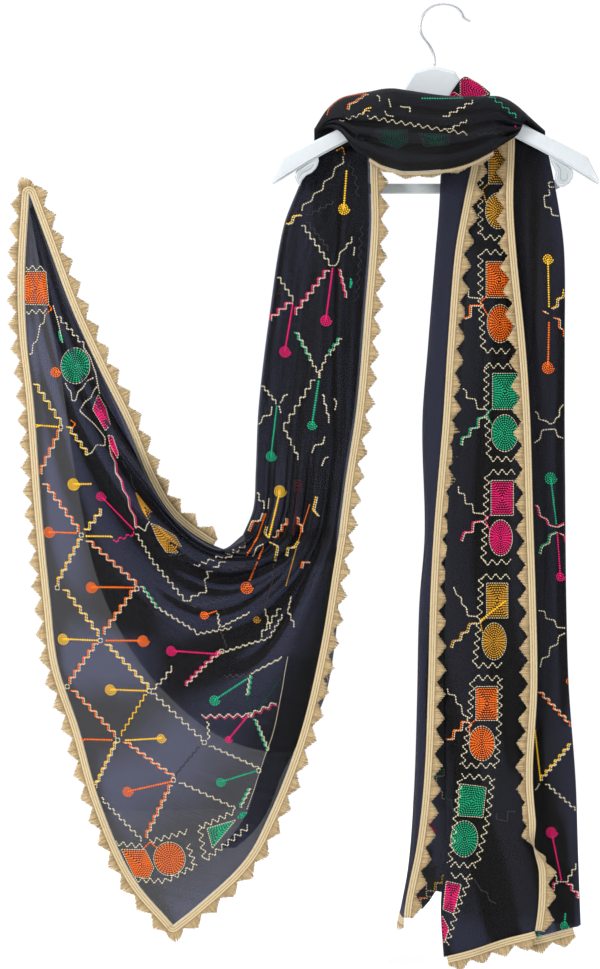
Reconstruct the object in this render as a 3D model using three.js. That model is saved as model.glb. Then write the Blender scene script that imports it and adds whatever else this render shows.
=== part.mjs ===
import * as THREE from 'three';

// A sheer embroidered dupatta with lace edges, draped over a plastic hanger.
// Millimetres, +Z up, the front faces -Y. The origin is inside the top of the hook, on the rail.
// The cloth is one rectangle. It is split here into the stretches that show: a raised end that hangs
// as a swag, the left fall, the cowl in front of the hanger's neck, and the right fall.

// Driving dimensions
const CLOTH_WALL = 1.6;
const SEAM_GAP = 0.3;
const LACE_WALL = 1.0;
const LACE_TAPE = 12;      // edge of the cloth to the valleys between two points
const LACE_REACH = 23;     // edge of the cloth to the tips of the points
const SHOULDER_Z = -178;   // where the two falls part from the cowl, behind the arms
const JOIN_Z = -668;       // where the swag runs into the left fall
const SWAG_FOLDS = 4.5;
const SWAG_FOLD_DEPTH = 7;
const SWAG_BELLY = 22;     // how far the swag's middle stands forward
const SWAG_BACK_FOLDS = 2.5;
const SWAG_BACK_FOLD_DEPTH = 3;
const SWAG_BACK_BELLY = 5;
const COWL_FOLDS = 3;
const COWL_FOLD_DEPTH = 4;
const COWL_LIP = 8;        // how far the cowl's lower edge turns in under the roll
const COWL_CREST = 26;     // at most, the height of the rounded crest
const PRESSED_LAYER_GAP = 3.4;  // from layer to layer, between the arm and the trouser bar
const LOOSE_LAYER_GAP = 6.5;    // the same, lower down
const FALL_WAVE_DEPTH = 4.5;    // the falls' soft lengthwise folds
const FALL_WAVE_WIDTH = 88;
const HOOK_WIRE = 3.4;
const BAR_HEIGHT = 13;
const BAR_DEPTH = 4;
const LOBE_THICKNESS = 3;

const COLOURS = {
  cloth: 0x15161e, lace: 0xdcc48c, plastic: 0xdcdee2, steel: 0xc4c6ca,
};
const FINISHES = {
  cloth: new THREE.MeshStandardMaterial({ color: COLOURS.cloth, roughness: 0.9, metalness: 0 }),
  lace: new THREE.MeshStandardMaterial({ color: COLOURS.lace, roughness: 0.7, metalness: 0 }),
  plastic: new THREE.MeshStandardMaterial({ color: COLOURS.plastic, roughness: 0.4, metalness: 0 }),
  steel: new THREE.MeshStandardMaterial({ color: COLOURS.steel, roughness: 0.25, metalness: 1 }),
};

const group = new THREE.Group();

function addPiece(name, geometry, material) {
  const mesh = new THREE.Mesh(geometry, material);
  mesh.name = name;
  group.add(mesh);
}

const point = (x, y, z) => new THREE.Vector3(x, y, z);
const mix = THREE.MathUtils.lerp;
const smooth = THREE.MathUtils.smoothstep;

// A smooth curve through the rows of a table with the columns x, y, z.
function curveThrough(rows) {
  return new THREE.CatmullRomCurve3(rows.map((row) => point(row.x, row.y, row.z)), false, 'centripetal');
}

// One column of a table at a value of its key column, smooth from row to row.
function readColumn(rows, key, column, value) {
  const rising = rows[rows.length - 1][key] > rows[0][key];
  let i = 0;
  while (i < rows.length - 2 && (rising ? rows[i + 1][key] < value : rows[i + 1][key] > value)) i += 1;
  const from = rows[i];
  const to = rows[i + 1];
  const before = rows[Math.max(i - 1, 0)];
  const after = rows[Math.min(i + 2, rows.length - 1)];
  const t = THREE.MathUtils.clamp((value - from[key]) / (to[key] - from[key]), 0, 1);
  const step = to[key] - from[key];
  const slopeIn = (to[column] - before[column]) / (to[key] - before[key]) * step;
  const slopeOut = (after[column] - from[column]) / (after[key] - from[key]) * step;
  const t2 = t * t;
  const t3 = t2 * t;
  return from[column] * (2 * t3 - 3 * t2 + 1) + slopeIn * (t3 - 2 * t2 + t)
    + to[column] * (3 * t2 - 2 * t3) + slopeOut * (t3 - t2);
}

// A closed wall around a grid of middle points, given as rows of equal length.
function wallFromGrid(rows, thickness) {
  const rowCount = rows.length;
  const columnCount = rows[0].length;
  const along = new THREE.Vector3();
  const across = new THREE.Vector3();
  const sides = [1, -1].map((side) => rows.map((row, i) => row.map((middle, j) => {
    along.subVectors(rows[Math.min(i + 1, rowCount - 1)][j], rows[Math.max(i - 1, 0)][j]);
    across.subVectors(row[Math.min(j + 1, columnCount - 1)], row[Math.max(j - 1, 0)]);
    const outward = along.cross(across).normalize();
    return middle.clone().addScaledVector(outward, side * thickness / 2);
  })));
  const positions = sides.flat(2).flatMap((p) => [p.x, p.y, p.z]);
  const index = [];
  const at = (side, i, j) => (side * rowCount + i) * columnCount + j;
  const quad = (a, b, c, d) => index.push(a, b, c, a, c, d);
  for (let i = 0; i < rowCount - 1; i += 1) {
    for (let j = 0; j < columnCount - 1; j += 1) {
      quad(at(0, i, j), at(0, i + 1, j), at(0, i + 1, j + 1), at(0, i, j + 1));
      quad(at(1, i, j), at(1, i, j + 1), at(1, i + 1, j + 1), at(1, i + 1, j));
    }
    quad(at(0, i, 0), at(1, i, 0), at(1, i + 1, 0), at(0, i + 1, 0));
    const last = columnCount - 1;
    quad(at(0, i, last), at(0, i + 1, last), at(1, i + 1, last), at(1, i, last));
  }
  for (let j = 0; j < columnCount - 1; j += 1) {
    quad(at(0, 0, j), at(0, 0, j + 1), at(1, 0, j + 1), at(1, 0, j));
    const last = rowCount - 1;
    quad(at(0, last, j), at(1, last, j), at(1, last, j + 1), at(0, last, j + 1));
  }
  const geometry = new THREE.BufferGeometry();
  geometry.setAttribute('position', new THREE.Float32BufferAttribute(positions, 3));
  geometry.setIndex(index);
  return geometry;
}

// A grid of points from a function of two shares that both run from 0 to 1.
function gridFromMap(map, rowCount, columnCount) {
  const rows = [];
  for (let i = 0; i <= rowCount; i += 1) {
    const row = [];
    for (let j = 0; j <= columnCount; j += 1) row.push(map(j / columnCount, i / rowCount));
    rows.push(row);
  }
  return rows;
}

// Lace along an edge of the cloth: a strip that ends in points. Edge and ways are lists of the same length,
// and each stretch from one to the next carries a whole number of points.
function laceAlong(edge, ways, pointsPerStretch, lift = () => {}) {
  const seam = [];
  const rim = [];
  const steps = 2 * pointsPerStretch;
  for (let n = 0; n <= (edge.length - 1) * steps; n += 1) {
    const k = Math.min(Math.floor(n / steps), edge.length - 2);
    const share = (n - k * steps) / steps;
    const way = ways[k].clone().lerp(ways[k + 1], share).normalize();
    const place = edge[k].clone().lerp(edge[k + 1], share);
    seam.push(place.clone().addScaledVector(way, SEAM_GAP));
    rim.push(place.addScaledVector(way, n % 2 === 1 ? LACE_REACH : LACE_TAPE));
  }
  [...seam, ...rim].forEach(lift);
  return wallFromGrid([seam, rim], LACE_WALL);
}

// The ways from the next row of points inside the cloth straight out across its edge.
function outFrom(edge, inside) {
  return edge.map((p, k) => {
    const along = edge[Math.min(k + 1, edge.length - 1)].clone().sub(edge[Math.max(k - 1, 0)]).normalize();
    const way = p.clone().sub(inside[k]);
    return way.addScaledVector(along, -way.dot(along)).normalize();
  });
}

const columnOf = (rows, j) => rows.map((row) => row.at(j));

// The patch that fills four border curves: start and finish run across, sideA and sideB run along.
function fillPatch({ start, finish, sideA, sideB }) {
  return (across, along) => {
    const p = start(across).multiplyScalar(1 - along).addScaledVector(finish(across), along);
    p.addScaledVector(sideA(along), 1 - across).addScaledVector(sideB(along), across);
    p.addScaledVector(start(0), -(1 - across) * (1 - along));
    p.addScaledVector(start(1), -across * (1 - along));
    p.addScaledVector(finish(0), -(1 - across) * along);
    p.addScaledVector(finish(1), -across * along);
    return p;
  };
}

// ---- The raised end and the swag ----

const END_EDGE = [  // the short edge, from the raised corner down to the low corner
  { x: -523, y: 6, z: -237 }, { x: -528, y: 0, z: -345 }, { x: -525, y: -6, z: -420 },
  { x: -517, y: 3, z: -500 }, { x: -506, y: -6, z: -640 }, { x: -496, y: 3, z: -750 },
  { x: -486, y: -4, z: -830 }, { x: -460, y: 4, z: -912 }, { x: -434, y: -5, z: -1001 },
  { x: -392, y: 3, z: -1099 }, { x: -341, y: 0, z: -1160 },
];
const RAISED_EDGE = [  // long edge 1, from the raised corner to the foot of the left fall
  { x: -523, y: 6, z: -237 }, { x: -498, y: 0, z: -304 }, { x: -468, y: -8, z: -384 },
  { x: -433, y: -10, z: -460 }, { x: -400, y: -12, z: -527 }, { x: -371, y: -12, z: -598 },
  { x: -346, y: -10, z: -640 }, { x: -312, y: -8, z: -670 }, { x: -279, y: -4, z: -686 },
  { x: -253, y: 1, z: JOIN_Z },
];
const LOW_EDGE = [  // long edge 2, from the low corner to the foot of the left fall
  { x: -341, y: 0, z: -1160 }, { x: -313, y: -6, z: -1137 }, { x: -250, y: -14, z: -1076 },
  { x: -218, y: -14, z: -1016 }, { x: -181, y: -10, z: -918 }, { x: -155, y: -6, z: -808 },
  { x: -139, y: -1, z: -710 }, { x: -132, y: 1, z: JOIN_Z },
];
const endEdge = curveThrough(END_EDGE);
const raisedEdge = curveThrough(RAISED_EDGE);
const lowEdge = curveThrough(LOW_EDGE);
const joinLine = new THREE.LineCurve3(raisedEdge.getPoint(1), lowEdge.getPoint(1));

const swagPatch = fillPatch({
  start: (share) => endEdge.getPointAt(share),
  finish: (share) => joinLine.getPoint(share),
  sideA: (share) => raisedEdge.getPointAt(share),
  sideB: (share) => lowEdge.getPointAt(share),
});

// The swag's folds run from the raised corner round to the left fall. A fold's place is 0 on the
// raised edge and 1 on the short edge and the low edge.
function swagFoldPlace(across, along) {
  return 1 - (1 - across) * along / (along + across * (1 - along) + 1e-6);
}

function swagPoint(across, along) {
  const p = swagPatch(across, along);
  const place = swagFoldPlace(across, along);
  const inside = 16 * across * (1 - across) * along * (1 - along);
  const belly = SWAG_BELLY * Math.min(inside, 1);
  const fold = SWAG_FOLD_DEPTH * Math.sin(2 * Math.PI * SWAG_FOLDS * place) * Math.min(3 * inside, 1);
  p.y -= belly + fold;
  return p;
}

const raisedEnd = gridFromMap(swagPoint, 20, 32);
addPiece('raised_end', wallFromGrid(raisedEnd, CLOTH_WALL), FINISHES.cloth);

// A second layer of the same cloth hangs behind the swag, from near the raised corner to the left fall.
const BACK_TOP = [
  { x: -514, y: 14, z: -280 }, { x: -478, y: 18, z: -380 }, { x: -442, y: 18, z: -470 },
  { x: -408, y: 18, z: -545 }, { x: -370, y: 18, z: -622 }, { x: -330, y: 18, z: -676 },
  { x: -282, y: 22, z: -700 }, { x: -246, y: 26, z: -684 },
];
const BACK_LOW = [
  { x: -518, y: 14, z: -290 }, { x: -500, y: 16, z: -364 }, { x: -482, y: 18, z: -464 },
  { x: -464, y: 16, z: -599 }, { x: -437, y: 14, z: -725 }, { x: -401, y: 12, z: -803 },
  { x: -351, y: 10, z: -868 }, { x: -274, y: 10, z: -927 }, { x: -190, y: 14, z: -940 },
  { x: -153, y: 18, z: -883 }, { x: -136, y: 22, z: -800 }, { x: -130, y: 26, z: -684 },
];
const backTop = curveThrough(BACK_TOP);
const backLow = curveThrough(BACK_LOW);

function swagBackPoint(across, along) {
  const p = backTop.getPointAt(along).lerp(backLow.getPointAt(along), across);
  const fold = SWAG_BACK_FOLD_DEPTH * Math.sin(2 * Math.PI * SWAG_BACK_FOLDS * across);
  p.y += SWAG_BACK_BELLY * Math.sin(Math.PI * across) + fold * Math.sin(Math.PI * along);
  return p;
}

addPiece('swag_back', wallFromGrid(gridFromMap(swagBackPoint, 22, 8), CLOTH_WALL), FINISHES.cloth);

// ---- The falls: cloth folded to and fro, one layer behind the other ----

const FALL_FRONT_Y = 1.5;
const LAYER_STEPS = 4;                 // steps across a layer
const LAYER_POINTS = LAYER_STEPS + 2;  // its points, with the round of the fold after it

// How far the soft lengthwise folds push the layers back. All layers lie in the same folds.
function fallWave(x, z) {
  const turns = x / FALL_WAVE_WIDTH + 0.35 * Math.sin(z / 160) + z / 900;
  return FALL_WAVE_DEPTH * smooth(-z, 230, 420) * Math.sin(2 * Math.PI * turns);
}

function layerGap(z) {
  return mix(PRESSED_LAYER_GAP, LOOSE_LAYER_GAP, smooth(-z, 230, 420));
}

// A path across one height through the places of its folds: flat from fold to fold, round at each fold,
// and one layer further back each time.
function foldedSection(folds, gap, z) {
  const row = [];
  const last = folds.length - 2;
  for (let k = 0; k <= last; k += 1) {
    const way = Math.sign(folds[k + 1] - folds[k]);
    const startX = folds[k] + (k > 0 ? way * gap / 2 : 0);
    const endX = folds[k + 1] - (k < last ? way * gap / 2 : 0);
    const y = FALL_FRONT_Y + k * gap;
    for (let j = 0; j <= LAYER_STEPS; j += 1) row.push(point(mix(startX, endX, j / LAYER_STEPS), y, z));
    if (k < last) row.push(point(folds[k + 1], y + gap / 2, z));
  }
  return row;
}

const LEFT_FALL = [  // the fold on the left and the laced edge on the right, from the shoulder down
  { z: -178, left: -164, right: -93 }, { z: -222, left: -180, right: -92 },
  { z: -280, left: -202, right: -91 }, { z: -387, left: -219, right: -99 },
  { z: -504, left: -233, right: -109 }, { z: -590, left: -237, right: -122 },
  { z: -635, left: -240, right: -128 }, { z: -668, left: -253, right: -132 },
];
const LEFT_FALL_ROWS = 16;

function leftFallSection(share) {
  const z = mix(SHOULDER_Z - SEAM_GAP, JOIN_Z + SEAM_GAP + 1, share);
  const left = readColumn(LEFT_FALL, 'z', 'left', z);
  const right = readColumn(LEFT_FALL, 'z', 'right', z);
  const row = foldedSection([right, left, right - 3, left + 4, right - 8], layerGap(z), z);
  row.forEach((p) => { p.y += fallWave(p.x, p.z) * (1 - smooth(-p.z, 570, -JOIN_Z)); });
  return row;
}

const leftFallRows = [];
for (let i = 0; i <= LEFT_FALL_ROWS; i += 1) leftFallRows.push(leftFallSection(i / LEFT_FALL_ROWS));
addPiece('left_fall', wallFromGrid(leftFallRows, CLOTH_WALL), FINISHES.cloth);

const RIGHT_FALL = [
  // edge1 is the laced edge on the right, with its lace turned in over the middle panel.
  // middle is the middle panel's fold, outer the outer panel's, back the back column's.
  // edge2 is the laced edge on the left, which comes round from the back.
  { z: -178, edge1: 90, middle: 50, outer: 131, back: 2, edge2: 40 },
  { z: -250, edge1: 88, middle: 37, outer: 145, back: -1, edge2: 25 },
  { z: -313, edge1: 92, middle: 26, outer: 153, back: -6, edge2: 14 },
  { z: -426, edge1: 103, middle: 17, outer: 154, back: -15, edge2: 5 },
  { z: -521, edge1: 109, middle: 11, outer: 154, back: -22, edge2: -1 },
  { z: -655, edge1: 113, middle: 3, outer: 155, back: -19, edge2: -12 },
  { z: -745, edge1: 116, middle: 1, outer: 156, back: -27, edge2: -17 },
  { z: -858, edge1: 118, middle: 1, outer: 159, back: -31, edge2: -20 },
  { z: -974, edge1: 113, middle: 2, outer: 167, back: -37, edge2: -26 },
  { z: -1060, edge1: 119, middle: 4, outer: 170, back: -47, edge2: -38 },
  { z: -1135, edge1: 119, middle: -3, outer: 173, back: -62, edge2: -52 },
  { z: -1205, edge1: 108, middle: 1, outer: 176, back: -66, edge2: -56 },
];
const HEM = { edge1: -1167, middle: -1201, outer: -1162, hidden: -1150, back: -1112, edge2: -1128 };
const RIGHT_FALL_ROWS = 16;
const HIDDEN_INSET = 10;                    // of the layers between the front ones and the back column
const COLUMN_FRONT_Y = FALL_FRONT_Y - 4.5;  // the back column's edge, turned forward
const COLUMN_BULGE = 4;                     // of its turn, to the left
const TURN_PARTS = [0.28, 0.5, 0.72];       // where the turn has points, from its back to its front

// Down the fall, each fold has its own length, so the hem steps from layer to layer.
function rightFallSection(share) {
  const places = [
    { column: 'edge1', hem: HEM.edge1, shift: 0 }, { column: 'middle', hem: HEM.middle, shift: 0 },
    { column: 'outer', hem: HEM.outer, shift: 0 },
    { column: 'middle', hem: HEM.hidden, shift: HIDDEN_INSET },
    { column: 'outer', hem: HEM.hidden, shift: -HIDDEN_INSET },
    { column: 'back', hem: HEM.back, shift: 0 },
  ];
  const heightAt = (hem) => mix(SHOULDER_Z - SEAM_GAP, hem, share);
  const gap = layerGap(heightAt(HEM.hidden));
  const folds = places.map(({ column, hem, shift }) => (
    readColumn(RIGHT_FALL, 'z', column, heightAt(hem)) + shift));
  const row = foldedSection(folds, gap, 0);
  row.forEach((p, n) => {
    const layer = Math.min(Math.floor(n / LAYER_POINTS), places.length - 2);
    const within = Math.min((n - layer * LAYER_POINTS) / (LAYER_POINTS - 1), 1);
    p.z = heightAt(mix(places[layer].hem, places[layer + 1].hem, within));
  });
  // The back column turns forward round the left side of the other layers and ends at the laced edge.
  const last = row[row.length - 1];
  const edgeZ = heightAt(HEM.edge2);
  const edgeX = readColumn(RIGHT_FALL, 'z', 'edge2', edgeZ);
  TURN_PARTS.forEach((part) => {
    const x = last.x - COLUMN_BULGE * Math.sin(Math.PI * part);
    row.push(point(x, mix(last.y, COLUMN_FRONT_Y, part), mix(last.z, edgeZ, part)));
  });
  row.push(point(mix(last.x, edgeX, 0.35), COLUMN_FRONT_Y, edgeZ));
  row.push(point(edgeX, COLUMN_FRONT_Y, edgeZ));
  row.forEach((p) => { p.y += fallWave(p.x, p.z); });
  return row;
}

const rightFallRows = [];
for (let i = 0; i <= RIGHT_FALL_ROWS; i += 1) rightFallRows.push(rightFallSection(i / RIGHT_FALL_ROWS));
addPiece('right_fall', wallFromGrid(rightFallRows, CLOTH_WALL), FINISHES.cloth);

// ---- The cowl: a saddle over both arms and a roll in front of the neck ----

const COWL = [
  // low is the front's lower edge, top the crest, back the lower edge behind. Depths are front and rear.
  { x: -163, low: -164, top: -156, back: -178, front: -3, rear: 10 },
  { x: -148, low: -156, top: -133, back: -178, front: -14, rear: 14 },
  { x: -131, low: -162, top: -119, back: -178, front: -30, rear: 15 },
  { x: -112, low: -186, top: -114, back: -178, front: -40, rear: 15 },
  { x: -93, low: -197, top: -111, back: -178, front: -45, rear: 15 },
  { x: -78, low: -206, top: -109, back: -112, front: -48, rear: 0 },
  { x: -64, low: -211, top: -109, back: -112, front: -49, rear: -12 },
  { x: -50, low: -214, top: -111, back: -124, front: -50, rear: -14 },
  { x: 0, low: -211, top: -118, back: -138, front: -50, rear: -14 },
  { x: 31, low: -203, top: -119, back: -136, front: -48, rear: -14 },
  { x: 60, low: -188, top: -118, back: -124, front: -42, rear: -13.5 },
  { x: 70, low: -181, top: -118, back: -122, front: -37, rear: -2 },
  { x: 82, low: -173, top: -121, back: -178, front: -30, rear: 15 },
  { x: 94, low: -163, top: -129, back: -178, front: -27, rear: 15 },
  { x: 101, low: -148, top: -135, back: -178, front: -21, rear: 14 },
  { x: 108, low: -150, top: -141, back: -178, front: -15, rear: 14 },
  { x: 128, low: -165, top: -158, back: -178, front: -3, rear: 10 },
];
const FRONT_SHARE = 0.58;  // of the way round the cowl's section: up to here its front
const CREST_SHARE = 0.82;  // and up to here its crest

function cowlPoint(round, along) {
  const x = mix(COWL[0].x, COWL[COWL.length - 1].x, along);
  const read = (column) => readColumn(COWL, 'x', column, x);
  const low = read('low');
  const top = read('top');
  const back = THREE.MathUtils.clamp(read('back'), SHOULDER_Z, top - 1);
  const front = read('front');
  const rear = read('rear');
  const middle = (front + rear) / 2;
  const radius = (rear - front) / 2;
  const crest = Math.min(radius, (top - low) * 0.8, COWL_CREST);
  const fullness = smooth(radius, 6, 24);
  if (round < FRONT_SHARE) {
    const share = round / FRONT_SHARE;
    const wave = COWL_FOLD_DEPTH * Math.sin(2 * Math.PI * (COWL_FOLDS * share + 0.4 * along));
    const lip = COWL_LIP * (1 - share) * (1 - share);
    const y = front + (lip + wave * Math.sin(Math.PI * share)) * fullness;
    return point(x, y, mix(low, top - crest, share));
  }
  if (round < CREST_SHARE) {
    const turn = Math.PI * (round - FRONT_SHARE) / (CREST_SHARE - FRONT_SHARE);
    const foot = mix(top - crest, Math.max(back, top - crest), turn / Math.PI);
    return point(x, middle - radius * Math.cos(turn), foot + (top - foot) * Math.sin(turn));
  }
  const share = (round - CREST_SHARE) / (1 - CREST_SHARE);
  const foot = Math.max(back, top - crest);
  return point(x, rear, mix(foot, Math.min(back, foot - 1), share));
}

const cowl = gridFromMap(cowlPoint, 28, 14);
addPiece('front_cowl', wallFromGrid(cowl, CLOTH_WALL), FINISHES.cloth);

// A fold of the hidden cloth stands up behind the cowl, in front of the hanger's neck.
const PEAK = [
  { x: 2, low: -138, top: -124 }, { x: 12, low: -138, top: -107 }, { x: 25, low: -138, top: -92 },
  { x: 38, low: -136, top: -99 }, { x: 48, low: -132, top: -107 }, { x: 57, low: -130, top: -115 },
];
const PEAK_Y = -10.6;   // its face at the left
const PEAK_TURN = -1.1; // and how far it turns forward to the right

function peakPoint(upward, along) {
  const x = mix(PEAK[0].x, PEAK[PEAK.length - 1].x, along);
  const y = PEAK_Y + PEAK_TURN * smooth(x, 30, 60);
  return point(x, y, mix(readColumn(PEAK, 'x', 'low', x), readColumn(PEAK, 'x', 'top', x), upward));
}

addPiece('cowl_peak', wallFromGrid(gridFromMap(peakPoint, 10, 4), CLOTH_WALL), FINISHES.cloth);

// ---- Lace ----

const BARE_ROWS = 3;  // along the raised edge, where the lace turns under at the foot of the left fall

function addEdgeLace(name, edge, inside, pointsPerStretch = 1) {
  addPiece(name, laceAlong(edge, outFrom(edge, inside), pointsPerStretch), FINISHES.lace);
}

function addTurnedLace(name, edge, way, pointsPerStretch) {
  addPiece(name, laceAlong(edge, edge.map(() => way.clone().normalize()), pointsPerStretch), FINISHES.lace);
}

// Lace that lies in front of the right fall's middle panel and follows its soft folds.
function addLyingLace(name, edge, side, frontY) {
  const flat = edge.map((p) => point(p.x, frontY, p.z));
  const lift = (p) => { p.y += fallWave(p.x, p.z); };
  addPiece(name, laceAlong(flat, flat.map(() => point(side, 0, 0)), 2, lift), FINISHES.lace);
}

addEdgeLace('end_lace', raisedEnd[0], raisedEnd[1]);
const raisedRows = raisedEnd.slice(0, -BARE_ROWS);
addEdgeLace('raised_edge_lace', columnOf(raisedRows, 0), columnOf(raisedRows, 1));
addEdgeLace('swag_lace', columnOf(raisedEnd, -1), columnOf(raisedEnd, -2));
addEdgeLace('left_fall_lace', columnOf(leftFallRows, 0), columnOf(leftFallRows, 1));

// The lace of the cowl's lower edge is turned back under it, and shows as a narrow rim.
const RIM = { from: -95, to: 62 };
const lowerEdge = columnOf(cowl, 0).filter((p) => p.x > RIM.from && p.x < RIM.to);
const cowlRim = lowerEdge.map((p) => point(p.x, p.y, p.z - 2 * SEAM_GAP));
addTurnedLace('cowl_lace', cowlRim, point(0, 0.85, -0.5), 1);

// On the right fall both laces lie on the middle panel: one points right, the other is turned in.
const LYING_LACE_Y = -3;
const TURNED_LACE_Y = LYING_LACE_Y - 2.2;
addLyingLace('right_inner_lace', columnOf(rightFallRows, -1), 1, LYING_LACE_Y);
const TWIST_ROWS = 2;  // at the foot of the fall the turned lace twists round and points out again
const turnedRows = rightFallRows.slice(0, -TWIST_ROWS);
const twistedRows = rightFallRows.slice(-TWIST_ROWS - 1);
addLyingLace('right_outer_lace', columnOf(turnedRows, 0), -1, TURNED_LACE_Y);
addLyingLace('right_twisted_lace', columnOf(twistedRows, 0), 1, FALL_FRONT_Y);

// The hem's lace hangs from the middle panel, the outer panel and the back column.
const hem = rightFallRows.at(-1);
const aboveHem = rightFallRows.at(-2);
const OUTER_PANEL = [LAYER_POINTS + 2, LAYER_POINTS + LAYER_STEPS + 1];  // the part that shows
addEdgeLace('middle_hem_lace', hem.slice(0, LAYER_STEPS + 1), aboveHem.slice(0, LAYER_STEPS + 1));
addEdgeLace('outer_hem_lace', hem.slice(...OUTER_PANEL), aboveHem.slice(...OUTER_PANEL));
addEdgeLace('column_hem_lace', hem.slice(-2), aboveHem.slice(-2));

// ---- The hanger ----

// A closed bar through upright rings with cut corners, square to the way the bar runs.
function barThrough(stations) {
  const positions = [];
  const index = [];
  const RING = 8;
  stations.forEach((station, i) => {
    const before = stations[Math.max(i - 1, 0)];
    const after = stations[Math.min(i + 1, stations.length - 1)];
    const way = new THREE.Vector2(after.x - before.x, after.y - before.y).normalize();
    const halfDepth = station.depth / 2;
    const corner = Math.min(station.depth, station.top - station.bottom) * 0.28;
    const sections = [
      [-halfDepth, station.bottom + corner], [-halfDepth, station.top - corner],
      [-halfDepth + corner, station.top], [halfDepth - corner, station.top],
      [halfDepth, station.top - corner], [halfDepth, station.bottom + corner],
      [halfDepth - corner, station.bottom], [-halfDepth + corner, station.bottom],
    ];
    sections.forEach(([off, z]) => positions.push(station.x - way.y * off, station.y + way.x * off, z));
  });
  for (let i = 0; i < stations.length - 1; i += 1) {
    for (let k = 0; k < RING; k += 1) {
      const next = (k + 1) % RING;
      const a = i * RING + k;
      const b = (i + 1) * RING + k;
      const c = (i + 1) * RING + next;
      const d = i * RING + next;
      index.push(a, b, c, a, c, d);
    }
  }
  const end = (stations.length - 1) * RING;
  for (let k = 1; k < RING - 1; k += 1) {
    index.push(0, k, k + 1);
    index.push(end, end + k + 1, end + k);
  }
  const geometry = new THREE.BufferGeometry();
  geometry.setAttribute('position', new THREE.Float32BufferAttribute(positions, 3));
  geometry.setIndex(index);
  return geometry;
}

const NECK_X = -11;
const HALF_HANGER = [  // from the neck out to a tip
  { out: 0, top: -77, bottom: -142, y: 0, depth: 14 },
  { out: 25, top: -83, bottom: -142, y: 0, depth: 14 },
  { out: 42, top: -111, bottom: -144, y: -2, depth: 12 },
  { out: 81, top: -134, bottom: -158, y: -6, depth: 10 },
  { out: 127, top: -160, bottom: -181, y: -11, depth: 9 },
  { out: 159, top: -176, bottom: -199, y: -13.5, depth: 9 },
  { out: 191, top: -193, bottom: -219, y: -16, depth: 8 },
  { out: 205, top: -221, bottom: -228, y: -17, depth: 5 },
];
const armTo = (side) => HALF_HANGER.map((station) => ({ ...station, x: NECK_X + side * station.out }));
addPiece('hanger_body', barThrough([...armTo(-1).reverse(), ...armTo(1).slice(1)]), FINISHES.plastic);

const BAR_Z = -229;
const BAR_PATH = [
  { x: -183, y: -8.6, z: -206 }, { x: -183, y: 12, z: -211 }, { x: -176, y: 25, z: -222 },
  { x: -158, y: 27, z: BAR_Z }, { x: 130, y: 27, z: BAR_Z }, { x: 148, y: 25, z: -222 },
  { x: 155, y: 12, z: -211 }, { x: 155, y: -8.2, z: -204 },
];
const barStations = BAR_PATH.map(({ x, y, z }) => (
  { x, y, top: z + BAR_HEIGHT / 2, bottom: z - BAR_HEIGHT / 2, depth: BAR_DEPTH }));
addPiece('trouser_bar', barThrough(barStations), FINISHES.plastic);

function roundSection(diameter, sides) {
  const shape = new THREE.Shape();
  for (let k = 0; k < sides; k += 1) {
    const turn = 2 * Math.PI * k / sides;
    const move = k === 0 ? 'moveTo' : 'lineTo';
    shape[move](diameter / 2 * Math.cos(turn), diameter / 2 * Math.sin(turn));
  }
  return shape;
}

function rodAlong(path, diameter, sides, steps) {
  return new THREE.ExtrudeGeometry(roundSection(diameter, sides), { steps, extrudePath: path });
}

// Under each arm a flat curled lobe, in front of the end of the trouser bar. Its sloped top follows the
// arm's lower edge.
const LOBE_Y = -14;
const LEFT_LOBE = [
  [-158, -193.4], [-157.3, -198], [-158.6, -203], [-161, -207.5], [-166, -212.6], [-173.6, -216.4],
  [-178.6, -222.7], [-181.2, -229.6], [-184.9, -224.8], [-187.2, -219], [-187, -213.5], [-184.8, -209],
  [-180, -206.6], [-175, -203.4], [-170.4, -200.4],
];
const RIGHT_LOBE = [
  [132.6, -191.4], [148, -200], [154, -204.1], [160.4, -208.2], [162.6, -213], [161.6, -219.5],
  [157.5, -226], [150.5, -230.4], [143.4, -229.8], [139.6, -224], [139.4, -217.4], [140.6, -211.3],
  [136.4, -203], [133.4, -196.5],
];

function addLobe(name, outline) {
  const shape = new THREE.Shape(outline.map(([x, z]) => new THREE.Vector2(x, z)));
  const geometry = new THREE.ExtrudeGeometry(shape, { depth: LOBE_THICKNESS, bevelEnabled: false });
  geometry.rotateX(Math.PI / 2).translate(0, LOBE_Y + LOBE_THICKNESS / 2, 0);
  addPiece(name, geometry, FINISHES.plastic);
}

addLobe('left_swirl', LEFT_LOBE);
addLobe('right_swirl', RIGHT_LOBE);

const HOOK = [
  { x: -11, z: -76.6 }, { x: -12, z: -64 }, { x: -17, z: -52 }, { x: -27, z: -38 }, { x: -29.5, z: -26 },
  { x: -24, z: -10 }, { x: -13, z: -1 }, { x: 0, z: HOOK_WIRE / 2 }, { x: 13, z: -1 }, { x: 22, z: -8 },
  { x: 26, z: -16 }, { x: 34, z: -20.5 },
].map(({ x, z }) => ({ x, y: 0, z }));
addPiece('hook', rodAlong(curveThrough(HOOK), HOOK_WIRE, 8, 30), FINISHES.steel);

export default group;
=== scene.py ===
import math
import random

import bmesh
import bpy
import numpy as np
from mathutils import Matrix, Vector
from mathutils.bvhtree import BVHTree


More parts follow.
